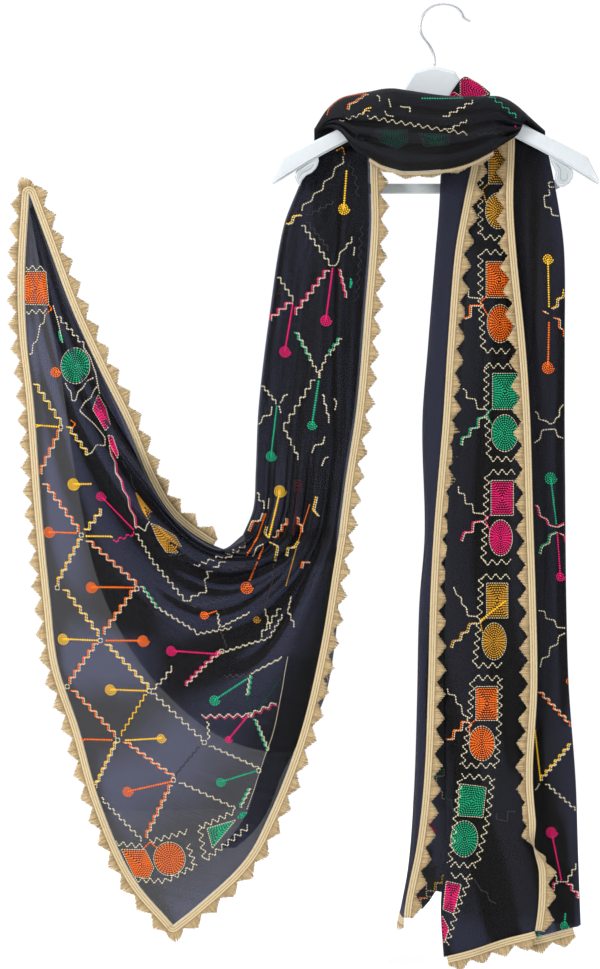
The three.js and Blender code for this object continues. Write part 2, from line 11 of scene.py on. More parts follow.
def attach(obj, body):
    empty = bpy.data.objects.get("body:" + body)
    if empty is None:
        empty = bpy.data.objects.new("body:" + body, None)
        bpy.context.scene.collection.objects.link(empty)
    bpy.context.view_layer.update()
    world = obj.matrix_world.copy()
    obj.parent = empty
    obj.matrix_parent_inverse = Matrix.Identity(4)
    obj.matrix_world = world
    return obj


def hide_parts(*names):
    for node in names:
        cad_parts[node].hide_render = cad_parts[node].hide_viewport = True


# A sheer embroidered dupatta with lace edges, draped over a plastic hanger. The stretches of cloth follow
# the same sections as the solids they replace, on finer grids and with creases of their own.
# Tables are in millimetres, +Z up, the front faces -Y. The origin is inside the top of the hook.

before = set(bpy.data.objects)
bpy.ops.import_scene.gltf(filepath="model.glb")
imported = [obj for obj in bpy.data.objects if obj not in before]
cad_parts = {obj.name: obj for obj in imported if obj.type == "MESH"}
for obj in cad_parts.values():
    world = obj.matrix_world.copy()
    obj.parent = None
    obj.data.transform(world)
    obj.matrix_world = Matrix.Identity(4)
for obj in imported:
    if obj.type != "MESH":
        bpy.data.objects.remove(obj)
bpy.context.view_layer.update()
bpy.ops.object.select_all(action="DESELECT")
chance = random.Random(11)

MM = 0.001

# Cloth
SHELL_WALL = 0.4          # georgette with its crinkle
SHOULDER_Z = -178         # where the two falls part from the cowl, behind the arms
JOIN_Z = -668             # where the swag runs into the left fall
SEAM_GAP = 0.3
SWAG_FOLDS = 4.5
SWAG_FOLD_DEPTH = 8
SWAG_BELLY = 22
COWL_FOLDS = 3
COWL_FOLD_DEPTH = 5
PRESSED_LAYER_GAP = 3.4
LOOSE_LAYER_GAP = 6.5
FALL_WAVE_DEPTH = 4.5
FALL_WAVE_WIDTH = 88
FALL_FRONT_Y = 1.5
STRIP_WIDTH = 36          # of the left fall's front layer, past the layers behind it
BEHIND_REACH = 38         # how far those layers run on down inside the swag
LYING_LACE_Y = -3
# The share of see-through light painted into a layer's colour when only one other layer hangs behind it.
ONE_BEHIND = 0.3          # how slate a layer looks with only one other behind it
# Over this depth the folds' painted shade goes from dark in a crease to light on a fold that stands out.
RIDGE_DEPTH = 0.6         # from a crease to a ridge, where the shade changes fully

# Lace
TAPE_WIDTH = 9.5
TAPE_CORDS = 3
LACE_VALLEY = 12
LACE_TIP = 23
LACE_PITCH = 30
STRAND_SPACING = 1.15
STRAND_WIDTH = 1.5
RAGGED = 0.05             # share by which the fringe's threads differ in length
TAPE_THIN, TAPE_CORD = 0.30, 0.55   # half thickness between the cords, and what a cord adds
HANGING = np.array([1, 0.25, 1])   # lace keeps near the plane it hangs in
CORNER_REACH = 15         # from a corner to the middle of the lace that turns round it

# Embroidery
STITCH = 3.0              # from one link of the chain to the next
STITCH_WIDTH = 2.7
PIN_WIDTH = 3.9
OUTLINE_WIDTH = 1.7
KNOT_WIDTH = 2.0
SECOND_LINE = (1.7, 0.6)  # from a line of chain stitch to the one beside it, in view steps
SURFACE_JUMP = 5          # a stroke breaks where the cloth's surface jumps by more than this
LINK_OVERLAP = 0.62       # half of a link's length, as a share of the way to the next
LINK_HEIGHT, LINK_ROOT = 0.85, 0.75   # above the cloth and down in it
RAY_START = 300           # in front of the cloth, from where its surface is looked for
FILL_SPACING = 2.3        # from one row of a filled motif to the next
VIEW_STEP = 1.258         # the charts below are drawn in steps of this size, as seen from the front
VIEW_HOOK = (444, 4)      # the top of the hook in those steps, across and down

LENS_SENSOR = 36
CAMERA_DISTANCE = 4.0
FRAME_HEIGHT = 1.219      # of the view at the cloth
FRAME_CENTRE = (-0.181, -0.6045)
ROOM_LEVEL = 0.42         # of the light from the front, against 1 for the white backdrop
CEILING_LEVEL = 0.8


# ---- Small tools ----

def smooth(value, low, high):
    share = np.clip((value - low) / (high - low), 0, 1)
    return share * share * (3 - 2 * share)


def mix(a, b, share):
    return a + (b - a) * share


def run_between(value, first, last, fade_in, fade_out):
    """1 between two values and 0 outside them, with a smooth change inside each end."""
    return smooth(value, first, first + fade_in) * (1 - smooth(value, last - fade_out, last))


def curve_through(rows):
    """A smooth curve through x, y, z rows, as a function from the share of its length to a point."""
    ends = [2 * np.array(rows[0]) - np.array(rows[1])]
    tail = [2 * np.array(rows[-1]) - np.array(rows[-2])]
    knots = ends + [np.array(row, float) for row in rows] + tail
    dense = []
    for p0, p1, p2, p3 in zip(knots, knots[1:], knots[2:], knots[3:]):
        d0, d1, d2 = (math.sqrt(np.linalg.norm(b - a)) for a, b in ((p0, p1), (p1, p2), (p2, p3)))
        t1 = ((p1 - p0) / d0 - (p2 - p0) / (d0 + d1) + (p2 - p1) / d1) * d1
        t2 = ((p2 - p1) / d1 - (p3 - p1) / (d1 + d2) + (p3 - p2) / d2) * d1
        for t in np.arange(40) / 40:
            dense.append(p1 + t1 * t + (-3 * p1 + 3 * p2 - 2 * t1 - t2) * t ** 2
                         + (2 * p1 - 2 * p2 + t1 + t2) * t ** 3)
    dense = np.array(dense + [np.array(rows[-1], float)])
    reach = np.concatenate([[0], np.cumsum(np.linalg.norm(np.diff(dense, axis=0), axis=1))])

    def at(share):
        return np.stack([np.interp(np.asarray(share) * reach[-1], reach, dense[:, k]) for k in range(3)], -1)
    return at


def read_column(rows, column, value):
    """One column of a table at a value of its first column, smooth from row to row."""
    keys = [row[0] for row in rows]
    rising = keys[-1] > keys[0]
    i = 0
    while i < len(rows) - 2 and (keys[i + 1] < value if rising else keys[i + 1] > value):
        i += 1
    before, after = max(i - 1, 0), min(i + 2, len(rows) - 1)
    step = keys[i + 1] - keys[i]
    t = min(max((value - keys[i]) / step, 0), 1)
    low, high = rows[i][column], rows[i + 1][column]
    slope_in = (high - rows[before][column]) / (keys[i + 1] - keys[before]) * step
    slope_out = (rows[after][column] - low) / (keys[after] - keys[i]) * step
    return (low * (2 * t ** 3 - 3 * t ** 2 + 1) + slope_in * (t ** 3 - 2 * t ** 2 + t)
            + high * (3 * t ** 2 - 2 * t ** 3) + slope_out * (t ** 3 - t ** 2))


def mesh_object(name, points, faces, materials, face_materials=None):
    """A smooth-shaded mesh from points in millimetres."""
    mesh = bpy.data.meshes.new(name)
    mesh.from_pydata([tuple(p) for p in np.asarray(points, float) * MM], [], faces)
    for material in materials:
        mesh.materials.append(material)
    if face_materials is not None:
        mesh.polygons.foreach_set("material_index", face_materials)
    mesh.polygons.foreach_set("use_smooth", [True] * len(mesh.polygons))
    mesh.update()
    piece = bpy.data.objects.new(name, mesh)
    bpy.context.scene.collection.objects.link(piece)
    return piece


def write_values(piece, name, values):
    piece.data.attributes.new(name, "FLOAT", "POINT").data.foreach_set("value", values)


def ray_tree(piece):
    work = bmesh.new()
    work.from_mesh(piece.data)
    tree = BVHTree.FromBMesh(work)
    work.free()
    return tree


def face_outwards(piece):
    work = bmesh.new()
    work.from_mesh(piece.data)
    bmesh.ops.recalc_face_normals(work, faces=work.faces)
    work.to_mesh(piece.data)
    work.free()


def tube_faces(rings, size):
    """The faces of a tube of rings with some points each, and its two ends."""
    faces = []
    for i in range(rings - 1):
        for k in range(size):
            after = (k + 1) % size
            faces.append((i * size + k, i * size + after, (i + 1) * size + after, (i + 1) * size + k))
    return faces + [tuple(range(size))[::-1], tuple(range((rings - 1) * size, rings * size))]


def apply_modifier(piece, kind, **settings):
    bpy.ops.object.select_all(action="DESELECT")
    bpy.context.view_layer.objects.active = piece
    piece.select_set(True)
    modifier = piece.modifiers.new(kind.lower(), kind)
    for key, value in settings.items():
        setattr(modifier, key, value)
    bpy.ops.object.modifier_apply(modifier=modifier.name)
    piece.select_set(False)


# ---- Materials ----

def to_linear(hex_colour):
    parts = [int(hex_colour[k:k + 2], 16) / 255 for k in (1, 3, 5)]
    return tuple(p / 12.92 if p <= 0.04045 else ((p + 0.055) / 1.055) ** 2.4 for p in parts) + (1,)


def add_node(tree, kind, inputs=None, **settings):
    """Adds a node. An input is a constant, or a socket of another node to link."""
    node = tree.nodes.new(kind)
    for key, value in settings.items():
        setattr(node, key, value)
    for key, value in (inputs or {}).items():
        if isinstance(value, bpy.types.NodeSocket):
            tree.links.new(value, node.inputs[key])
        else:
            node.inputs[key].default_value = value
    return node


def new_material(name, constants):
    """A material with these constants on its shader's own sockets."""
    material = bpy.data.materials.new(name)
    material.use_nodes = True
    shader = material.node_tree.nodes["Principled BSDF"]
    for socket, value in constants.items():
        shader.inputs[socket].default_value = value
    return material, material.node_tree, shader


def noise(tree, place, scale, detail):
    inputs = {"Vector": place, "Scale": scale, "Detail": detail}
    return add_node(tree, "ShaderNodeTexNoise", inputs).outputs[0]


def grain_of(tree, size, detail):
    """A noise fixed to the object, with grains of about this size in metres."""
    return noise(tree, add_node(tree, "ShaderNodeTexCoord").outputs["Object"], 1 / size, detail)


def attribute(tree, name):
    return add_node(tree, "ShaderNodeAttribute", attribute_name=name).outputs["Fac"]


def map_range(tree, value, **limits):
    inputs = {"Value": value, **{key.replace("_", " ").title(): limit for key, limit in limits.items()}}
    return add_node(tree, "ShaderNodeMapRange", inputs).outputs[0]


def add_bump(tree, shader, height, strength, distance):
    settings = {"Height": height, "Strength": strength, "Distance": distance}
    tree.links.new(add_node(tree, "ShaderNodeBump", settings).outputs[0], shader.inputs["Normal"])


def blend_colours(tree, share, low, high):
    blend = add_node(tree, "ShaderNodeMix", data_type="RGBA")
    tree.links.new(share, blend.inputs[0])
    blend.inputs[6].default_value = to_linear(low)
    blend.inputs[7].default_value = to_linear(high)
    return blend.outputs[2]


def crinkled_georgette(name, cover, layered_light):
    """Sheer polyester georgette, piece dyed and crinkled lengthwise. The light that comes through one layer
    is painted into its colour as slate blue, and where layers lie over each other it is painted near black.
    Creases carry painted shade and raised folds a painted highlight. Dry fine streaks run along the
    cloth, and it hardly shines."""
    material, tree, shader = new_material(name, {
        "Roughness": 0.72, "IOR": 1.5, "Specular IOR Level": 0.16, "Sheen Weight": 0.07,
        "Sheen Roughness": 0.4, "Sheen Tint": to_linear("#8C90B4"),
        "Alpha": cover})   # of each of the shell's two faces
    place = add_node(tree, "ShaderNodeUVMap", uv_map="cloth_metres").outputs[0]
    # The crepe yarn is 0.3 mm, too fine to show, and is drawn at 1.5 mm.
    stretches = [(1 / width, 1 / length, 1) for width, length in ((0.0042, 0.060), (0.0015, 0.004))]
    places = [add_node(tree, "ShaderNodeMapping", {0: place, 3: stretch}).outputs[0] for stretch in stretches]
    streaks, yarn = noise(tree, places[0], 1, 4), noise(tree, places[1], 1, 1)
    # Painted shade and highlight: the cloth is painted darker down in a crease and lighter where a fold
    # stands out.
    share = attribute(tree, "painted_fold_shade")
    for part, weight in ((streaks, 0.9), (yarn, 0.3)):
        share = add_node(tree, "ShaderNodeMath", {0: part, 1: weight, 2: share},
                         operation="MULTIPLY_ADD").outputs[0]
    share = map_range(tree, share, from_min=0.82, from_max=1.55)
    # Painted see-through light: a single layer is painted slate, and layers over each other near black.
    layered = blend_colours(tree, share, "#020203", layered_light)
    lone = blend_colours(tree, share, "#080912", "#32354E")
    blend = add_node(tree, "ShaderNodeMix", {0: attribute(tree, "painted_see_through"), 6: layered, 7: lone},
                     data_type="RGBA")
    tree.links.new(blend.outputs[2], shader.inputs["Base Color"])
    add_bump(tree, shader, streaks, 0.8, 0.0022)
    return material


def rayon_lace(name, dark, light, pitch):
    """Matt gold-cream rayon cord and thread, with painted shade: brown between the tape's cords, at the roots
    of the fringe, and where its threads crowd and shade each other.
    """
    material, tree, shader = new_material(name, {
        "Roughness": 0.62, "IOR": 1.5, "Specular IOR Level": 0.3, "Sheen Weight": 0.2})
    grain = grain_of(tree, pitch, 2)
    total = add_node(tree, "ShaderNodeMath", {0: attribute(tree, "tone_and_painted_shade"), 1: grain}, operation="ADD")
    share = map_range(tree, total.outputs[0], from_min=0.35, from_max=1.25)
    tree.links.new(blend_colours(tree, share, dark, light), shader.inputs["Base Color"])
    add_bump(tree, shader, grain, 0.6, 0.0008)
    return material


def embroidery_thread(name, dark, light):
    """Six-strand cotton with a soft shine on each stitch, from the shader and from a painted highlight on its
    crown, and painted shade at its ends and down between the stitches.
    """
    material, tree, shader = new_material(name, {"Roughness": 0.5, "IOR": 1.5, "Specular IOR Level": 0.12})
    tree.links.new(blend_colours(tree, attribute(tree, "tone_and_painted_shade"), dark, light), shader.inputs["Base Color"])
    return material


def moulded_polystyrene(name, dark, light):
    """Glossy injection-moulded plastic, even and pale, with a faint orange-peel."""
    material, tree, shader = new_material(name, {"Roughness": 0.22, "IOR": 1.59})
    peel = grain_of(tree, 0.006, 1)
    tree.links.new(blend_colours(tree, peel, dark, light), shader.inputs["Base Color"])
    add_bump(tree, shader, peel, 0.06, 0.0006)
    return material


def plated_wire(name):
    """Nickel-plated steel wire, drawn, with fine wear that makes its shine uneven."""
    material, tree, shader = new_material(name, {"Metallic": 1.0})
    wear = grain_of(tree, 0.004, 2)
    tree.links.new(map_range(tree, wear, to_min=0.3, to_max=0.4), shader.inputs["Roughness"])
    tree.links.new(blend_colours(tree, wear, "#B9BCC1", "#D3D6DA"), shader.inputs["Base Color"])
    return material


def floor_paper():
    """Matt white background paper."""
    material, tree, shader = new_material("floor_paper", {"Roughness": 0.9})
    grain = grain_of(tree, 1 / 90, 2)
    tree.links.new(blend_colours(tree, grain, "#FAFAFA", "#FFFFFF"), shader.inputs["Base Color"])
    return material


# The copies for many folds and rolled layers let less light through, and paint their layered parts in darker
# shade.
GEORGETTE = crinkled_georgette("crinkled_georgette", 0.77, "#181A25")
FOLDED_GEORGETTE = crinkled_georgette("crinkled_georgette_in_many_folds", 0.9, "#12131A")
ROLLED_GEORGETTE = crinkled_georgette("crinkled_georgette_in_rolled_layers", 0.95, "#0F1015")
# The dark colours of the lace are its painted shade.
LACE_TAPE = rayon_lace("rayon_lace_tape", "#71592F", "#C0AE8A", 0.0012)
LACE_FRINGE = rayon_lace("rayon_lace_fringe", "#5E4520", "#BDA478", 0.0010)
THREADS = {name: embroidery_thread("thread_" + words, dark, light) for name, words, dark, light in (
    ("cream", "cream", "#A49878", "#E2D8BC"), ("orange", "orange", "#F05A08", "#FF7C16"),
    ("green", "green", "#08724E", "#18BE88"), ("pink", "pink", "#B80A4A", "#F41C78"),
    ("yellow", "yellow", "#EAA614", "#FFD030"), ("gold", "gold", "#946414", "#E0A42E"),
    # Threads of a layer underneath, with the shade of the cloth that covers them painted into their colours.
    ("under_cream", "cream_under_cloth", "#23242A", "#3C3C3E"),
    ("under_green", "green_under_cloth", "#0B2B23", "#123F34"),
    ("under_red", "red_under_cloth", "#2A0A12", "#4A0F1C"),
    ("under_gold", "gold_under_cloth", "#2A2112", "#4A3A1A"),
)}
PLASTIC = moulded_polystyrene("moulded_polystyrene", "#BEC4C8", "#C6CBCF")
# The same plastic painted greyer, as shade, for the flanges, lobes and trouser bar under the arms.
SHADED_PLASTIC = moulded_polystyrene("moulded_polystyrene_painted_shade", "#A8AEB1", "#B0B6B9")
# Darker still: the painted shade down in the engraved grooves.
SHADE_PLASTIC = moulded_polystyrene("moulded_polystyrene_painted_groove_shade", "#7F868A", "#8C9296")
WIRE = plated_wire("nickel_plated_wire")


# ---- Cloth ----

def cloth_from_grid(name, grid, material=GEORGETTE):
    """A thin closed shell on a grid of middle points. Its UV map is the cloth's own width and length."""
    row_count, column_count, _ = grid.shape
    across = np.linalg.norm(np.diff(grid, axis=1), axis=2)
    across = np.concatenate([np.zeros((row_count, 1)), np.cumsum(across, axis=1)], axis=1)
    along = np.linalg.norm(np.diff(grid, axis=0), axis=2)
    along = np.concatenate([np.zeros((1, column_count)), np.cumsum(along, axis=0)], axis=0)
    places = np.stack([across, along], -1).reshape(-1, 2) * MM
    faces = []
    for i in range(row_count - 1):
        for j in range(column_count - 1):
            a = i * column_count + j
            faces.append((a, a + 1, a + column_count + 1, a + column_count))
    piece = mesh_object(name, grid.reshape(-1, 3), faces, [material])
    layer = piece.data.uv_layers.new(name="cloth_metres")
    corners = np.empty(len(piece.data.loops), int)
    piece.data.loops.foreach_get("vertex_index", corners)
    layer.data.foreach_set("uv", places[corners].ravel())
    apply_modifier(piece, "SOLIDIFY", thickness=SHELL_WALL * MM, offset=0)
    return piece


END_EDGE = [  # x, y, z: the short edge, from the raised corner down to the low corner
    (-523, 6, -237), (-528, 0, -345), (-525, -6, -420), (-517, 3, -500), (-506, -6, -640), (-496, 3, -750),
    (-486, -4, -830), (-460, 4, -912), (-434, -5, -1001), (-392, 3, -1099), (-341, 0, -1160),
]
RAISED_EDGE = [  # x, y, z: long edge 1, from the raised corner to the foot of the left fall
    (-523, 6, -237), (-498, 0, -304), (-468, -8, -384), (-433, -10, -460), (-400, -12, -527),
    (-371, -12, -598), (-346, -10, -640), (-312, -8, -670), (-279, -4, -686), (-253, 1, JOIN_Z),
]
LOW_EDGE = [  # x, y, z: long edge 2, from the low corner to the foot of the left fall
    (-341, 0, -1160), (-313, -6, -1137), (-250, -14, -1076), (-218, -14, -1016), (-181, -10, -918),
    (-155, -6, -808), (-139, -1, -710), (-132, 1, JOIN_Z),
]
SWAG_CREASES = [
    # place across the folds (0 at the raised edge), half width, depth, and where it runs along the swag
    (0.07, 0.012, -4.2, 0.10, 0.95), (0.13, 0.016, 6.3, 0.20, 1.20), (0.20, 0.012, -5.6, 0.35, 1.20),
    (0.26, 0.018, 7.0, 0.25, 0.95), (0.33, 0.012, -6.3, 0.40, 1.20), (0.39, 0.016, 7.0, 0.45, 1.20),
    (0.46, 0.012, -5.6, 0.42, 1.20), (0.52, 0.018, 6.3, 0.35, 0.90), (0.58, 0.012, -6.3, 0.50, 1.20),
    (0.65, 0.016, 5.6, 0.45, 1.20), (0.72, 0.014, -5.6, 0.35, 0.95), (0.79, 0.016, 4.9, 0.55, 1.20),
    (0.86, 0.012, -4.2, 0.45, 1.20), (0.93, 0.014, 3.5, 0.60, 1.20),
]
JOIN_RELIEF = 0.35        # of the swag's relief where it runs into the fall


def swag_relief(place, along):
    """How far the swag's folds and creases push the cloth back. At the join, along is 1."""
    relief = SWAG_FOLD_DEPTH * np.sin(2 * math.pi * SWAG_FOLDS * place)
    for middle, half_width, depth, first, last in SWAG_CREASES:
        wander = middle + 0.014 * np.sin(7 * along + 40 * middle)
        run = run_between(along, first, last, 0.2, 0.15)
        relief = relief + depth * np.exp(-((place - wander) / half_width) ** 2) * run
    return relief


def swag_grid(row_count=150, column_count=171):
    end_edge, raised_edge, low_edge = (curve_through(rows) for rows in (END_EDGE, RAISED_EDGE, LOW_EDGE))
    across = np.linspace(0, 1, column_count)[None, :]
    along = np.linspace(0, 1, row_count)[:, None]
    u, v = across[..., None], along[..., None]
    join_start, join_end = np.array(RAISED_EDGE[-1], float), np.array(LOW_EDGE[-1], float)
    start, finish = end_edge(across), mix(join_start, join_end, u)
    side_a, side_b = raised_edge(along), low_edge(along)
    corners = ((1 - u) * (1 - v) * start[:, :1] + u * (1 - v) * start[:, -1:]
               + (1 - u) * v * join_start + u * v * join_end)
    grid = (1 - v) * start + v * finish + (1 - u) * side_a + u * side_b - corners
    place = 1 - (1 - across) * along / (along + across * (1 - along) + 1e-6)
    inside = 16 * across * (1 - across) * along * (1 - along)
    sides = np.minimum(12 * across * (1 - across) * along, 1)
    grid[..., 1] -= SWAG_BELLY * np.minimum(inside, 1)
    grid[..., 1] -= swag_relief(place, along) * sides * mix(1, JOIN_RELIEF, smooth(along, 0.75, 1))
    return grid


BACK_TOP = [  # x, y, z
    (-520, 11, -250), (-479, 16, -368), (-444, 17, -444), (-409, 18, -520), (-372, 18, -602),
    (-340, 18, -650), (-285, 21, -688), (-252, 25, -676),
]
BACK_LOW = [  # x, y, z
    (-523, 12, -256), (-506, 15, -350), (-484, 18, -464), (-464, 16, -599), (-437, 14, -725),
    (-401, 12, -803), (-351, 10, -868), (-274, 10, -927), (-190, 14, -940), (-153, 18, -883),
    (-136, 22, -800), (-130, 26, -684),
]


def swag_back_grid(row_count=150, column_count=70):
    across = np.linspace(0, 1, column_count)[None, :]
    along = np.linspace(0, 1, row_count)[:, None]
    grid = mix(curve_through(BACK_TOP)(along), curve_through(BACK_LOW)(along), across[..., None])
    ripple = 3 * np.sin(2 * math.pi * 2.5 * across) + 1.2 * np.sin(2 * math.pi * (7 * across + 0.6 * along))
    grid[..., 1] += 5 * np.sin(math.pi * across) + ripple * np.sin(math.pi * along)
    return grid


FOLDED_BORDER = [  # z, the fold's x inside the swag, and the x of its outer edge
    (-820, -196, -160), (-850, -203, -166), (-890, -211, -175), (-940, -223, -189), (-968, -233, -203),
    (-1014, -246, -221), (-1040, -262, -238), (-1062, -281, -262),
]


def folded_border_grid(row_count=70, column_count=14):
    """The border of long edge 2, folded to the back of the swag beside its lace."""
    rows = []
    for z in np.linspace(FOLDED_BORDER[0][0], FOLDED_BORDER[-1][0], row_count):
        inner, outer = read_column(FOLDED_BORDER, 1, z), read_column(FOLDED_BORDER, 2, z)
        x = np.linspace(inner, outer, column_count)
        y = mix(-4, -7, smooth(-z, 820, 900)) + 2.0 * np.sin(x / 9 + z / 60)
        rows.append(np.stack([x, y, np.full(column_count, z)], -1))
    return np.array(rows)


FALL_CREASES = [
    # x of the crease at the height where it starts, half width, depth, slant, and its first and last height
    (-196, 5, 2.2, 0.10, -240, -560), (-150, 7, -2.0, 0.05, -260, -640), (-128, 4, 2.6, 0.03, -200, -600),
    (-112, 5, -2.4, 0.04, -330, -660), (-176, 4, -1.8, 0.08, -420, -650), (30, 4, 1.6, 0.04, -300, -700),
    (62, 6, -2.0, 0.02, -330, -820), (84, 4, 2.0, -0.01, -260, -520), (112, 5, 2.4, -0.02, -200, -640),
    (128, 6, -2.2, -0.03, -300, -900), (144, 4, 1.8, -0.02, -480, -1080), (48, 6, 2.0, 0.03, -760, -1120),
    (92, 7, -2.2, -0.02, -840, -1160), (20, 5, 2.0, 0.03, -900, -1160), (120, 4, 1.8, -0.03, -820, -1140),
    (-14, 4, 1.8, 0.04, -380, -760), (-30, 4, -1.6, 0.05, -700, -1080),
]


def fall_relief(x, z):
    """How far the soft lengthwise folds and creases push the layers back."""
    turns = x / FALL_WAVE_WIDTH + 0.35 * np.sin(z / 160) + z / 900
    relief = FALL_WAVE_DEPTH * smooth(-z, 230, 420) * np.sin(2 * math.pi * turns)
    for start, half_width, depth, slant, first, last in FALL_CREASES:
        middle = start + slant * (z - first) + 2 * np.sin(z / 70 + start)
        run = run_between(-z, -first, -last, 90, 90)
        relief = relief + depth * np.exp(-((x - middle) / half_width) ** 2) * run
    return relief


def layer_gap(z):
    return mix(PRESSED_LAYER_GAP, LOOSE_LAYER_GAP, smooth(-z, 230, 420))


LAYER_STEPS = 25
TURN_STEPS = 6
RIGHT_ROWS = 200


def folded_section(folds, gap, first_layer=0):
    """Flat from fold to fold and round at each fold. Each point has its layer and its share of the layer."""
    points, layers, shares = [], [], []
    last = len(folds) - 2
    for k in range(last + 1):
        way = math.copysign(1, folds[k + 1] - folds[k])
        start = folds[k] + (way * gap / 2 if k > 0 else 0)
        end = folds[k + 1] - (way * gap / 2 if k < last else 0)
        y = FALL_FRONT_Y + (k + first_layer) * gap
        for step in range(LAYER_STEPS + 1):
            points.append([mix(start, end, step / LAYER_STEPS), y, 0])
            layers.append(k)
            shares.append(step / (LAYER_STEPS + 1))
        if k < last:
            for step in range(1, TURN_STEPS):
                turn = math.pi * step / TURN_STEPS
                points.append([end + way * gap / 2 * math.sin(turn), y + gap / 2 * (1 - math.cos(turn)), 0])
                layers.append(k)
                shares.append(1)
    return np.array(points, float), np.array(layers), np.array(shares)


LEFT_FALL = [  # z, left fold, right edge
    (-178, -164, -93), (-222, -180, -92), (-280, -202, -91), (-387, -219, -99), (-504, -233, -109),
    (-590, -237, -122), (-635, -240, -128), (-668, -253, -132),
]


def left_fall_relief(x, z, left, right):
    """The fall's own folds, which turn into the swag's on the way down."""
    share = np.clip((x - left) / (right - left), 0, 1)
    swag_part = smooth(-z, 500, -JOIN_Z)
    joined = -swag_relief(share, 1.0) * np.minimum(12 * share * (1 - share), 1) * JOIN_RELIEF
    return mix(fall_relief(x, z), joined, swag_part)


def left_front_grid(column_count=171, row_count=120):
    """The front layer, from the join up to the shoulder, in the swag's own columns."""
    rows = []
    for z in np.linspace(JOIN_Z, SHOULDER_Z - SEAM_GAP, row_count):
        left, right = read_column(LEFT_FALL, 1, z), read_column(LEFT_FALL, 2, z)
        x = np.linspace(left, right, column_count)
        y = mix(FALL_FRONT_Y, RAISED_EDGE[-1][1], smooth(-z, 600, -JOIN_Z))
        rows.append(np.stack([x, y + left_fall_relief(x, z, left, right), np.full(column_count, z)], -1))
    return np.array(rows)


def left_behind_grid(row_count=140):
    """The layers folded behind the front one. Past the strip on the left there is only one of them."""
    rows = []
    for z in np.linspace(SHOULDER_Z - SEAM_GAP, JOIN_Z - BEHIND_REACH, row_count):
        left, right = read_column(LEFT_FALL, 1, z), read_column(LEFT_FALL, 2, z)
        gap = layer_gap(z)
        strip = STRIP_WIDTH * smooth(-z, 190, 300)
        row, _, _ = folded_section([left + 2, right - 3, left + 6 + strip, right - 8], gap, 1)
        row[:, 2] = z
        row[:, 1] += left_fall_relief(row[:, 0], z, left, right)
        rows.append(row)
    return np.array(rows)


RIGHT_FALL = [
    # z, edge1 (laced, turned in), middle (the middle panel's fold), outer (the outer panel's),
    # back (the back column's fold), edge2 (laced, on the left)
    (-178, 90, 50, 131, 2, 40), (-250, 88, 37, 145, -1, 25), (-313, 92, 26, 153, -6, 14),
    (-426, 103, 17, 154, -15, 5), (-521, 109, 11, 154, -22, -1), (-655, 113, 3, 155, -19, -12),
    (-745, 116, 1, 156, -26, -17), (-858, 118, 1, 159, -29, -20), (-974, 113, 2, 167, -33, -25),
    (-1060, 119, 4, 170, -40, -34), (-1135, 119, -3, 173, -55, -49), (-1205, 108, 1, 176, -62, -55),
]
EDGE1, MIDDLE, OUTER, BACK, EDGE2 = 1, 2, 3, 4, 5
RIGHT_FOLDS = [  # column of the table, height of the hem there, shift
    (EDGE1, -1167, 0), (MIDDLE, -1201, 0), (OUTER, -1162, 0), (MIDDLE, -1150, 10), (OUTER, -1150, -10),
    (BACK, -1112, 0),
]
EDGE2_HEM = -1150
HIDDEN_HEM = -1150
COLUMN_FRONT_Y = FALL_FRONT_Y - 4.5
COLUMN_DROP = 26
COLUMN_RISE = (-24, -8)   # x where its hem rises again behind the middle panel
UNDER_COWL = 12           # how far the fall runs on up under the cowl


def right_fall_grid():
    rows = []
    for share in np.linspace(0, 1, RIGHT_ROWS):
        def height(hem):
            return mix(SHOULDER_Z + UNDER_COWL, hem, share)
        gap = layer_gap(height(HIDDEN_HEM))
        folds = [read_column(RIGHT_FALL, column, height(hem)) + shift for column, hem, shift in RIGHT_FOLDS]
        row, layers, within = folded_section(folds, gap)
        hems = np.array([hem for _, hem, _ in RIGHT_FOLDS], float)
        row[:, 2] = height(mix(hems[layers], hems[layers + 1], within))
        # The back column hangs lower on its open left side.
        row[:, 2] -= COLUMN_DROP * share ** 4 * (layers == layers[-1]) * (1 - smooth(row[:, 0], *COLUMN_RISE))
        # The back column turns forward round the left side of the other layers and ends at the laced edge.
        last, edge_z = row[-1].copy(), height(EDGE2_HEM)
        edge_x = read_column(RIGHT_FALL, EDGE2, edge_z)
        turn = [[last[0] - 4 * math.sin(math.pi * part), mix(last[1], COLUMN_FRONT_Y, part),
                 mix(last[2], edge_z, part)] for part in np.linspace(0.08, 0.92, 12)]
        flat = [[mix(last[0], edge_x, part), COLUMN_FRONT_Y, edge_z] for part in np.linspace(0.1, 1, 6)]
        row = np.concatenate([row, turn, flat])
        row[:, 1] += fall_relief(row[:, 0], row[:, 2])
        rows.append(row)
    return np.array(rows)


COWL = [
    # x, low (the front's lower edge), top (the crest), back (the lower edge behind), depths front and rear
    (-163, -164, -156, -178, -3, 10), (-148, -156, -133, -178, -14, 14), (-131, -162, -119, -178, -30, 15),
    (-112, -186, -114, -178, -40, 15), (-93, -197, -111, -178, -45, 15), (-78, -206, -109, -112, -48, 0),
    (-64, -211, -109, -112, -49, -12), (-50, -214, -111, -124, -50, -14), (0, -211, -118, -138, -50, -14),
    (31, -203, -119, -136, -48, -14), (60, -188, -118, -124, -42, -13.5), (70, -181, -118, -122, -37, -2),
    (82, -173, -121, -178, -30, 15), (94, -163, -129, -178, -27, 15), (101, -148, -135, -178, -21, 14),
    (108, -150, -141, -178, -15, 14), (128, -165, -158, -178, -3, 10),
]
COWL_CREASES = [  # share up the front, half width, depth, first and last share along
    (0.20, 0.035, 2.0, 0.10, 0.70), (0.36, 0.028, -2.2, 0.25, 0.95), (0.52, 0.040, 2.4, 0.05, 0.75),
    (0.67, 0.026, -2.0, 0.30, 0.98), (0.82, 0.035, 2.0, 0.10, 0.60),
]
FRONT_SHARE = 0.58
CREST_SHARE = 0.82
CREST_LIMIT = 26


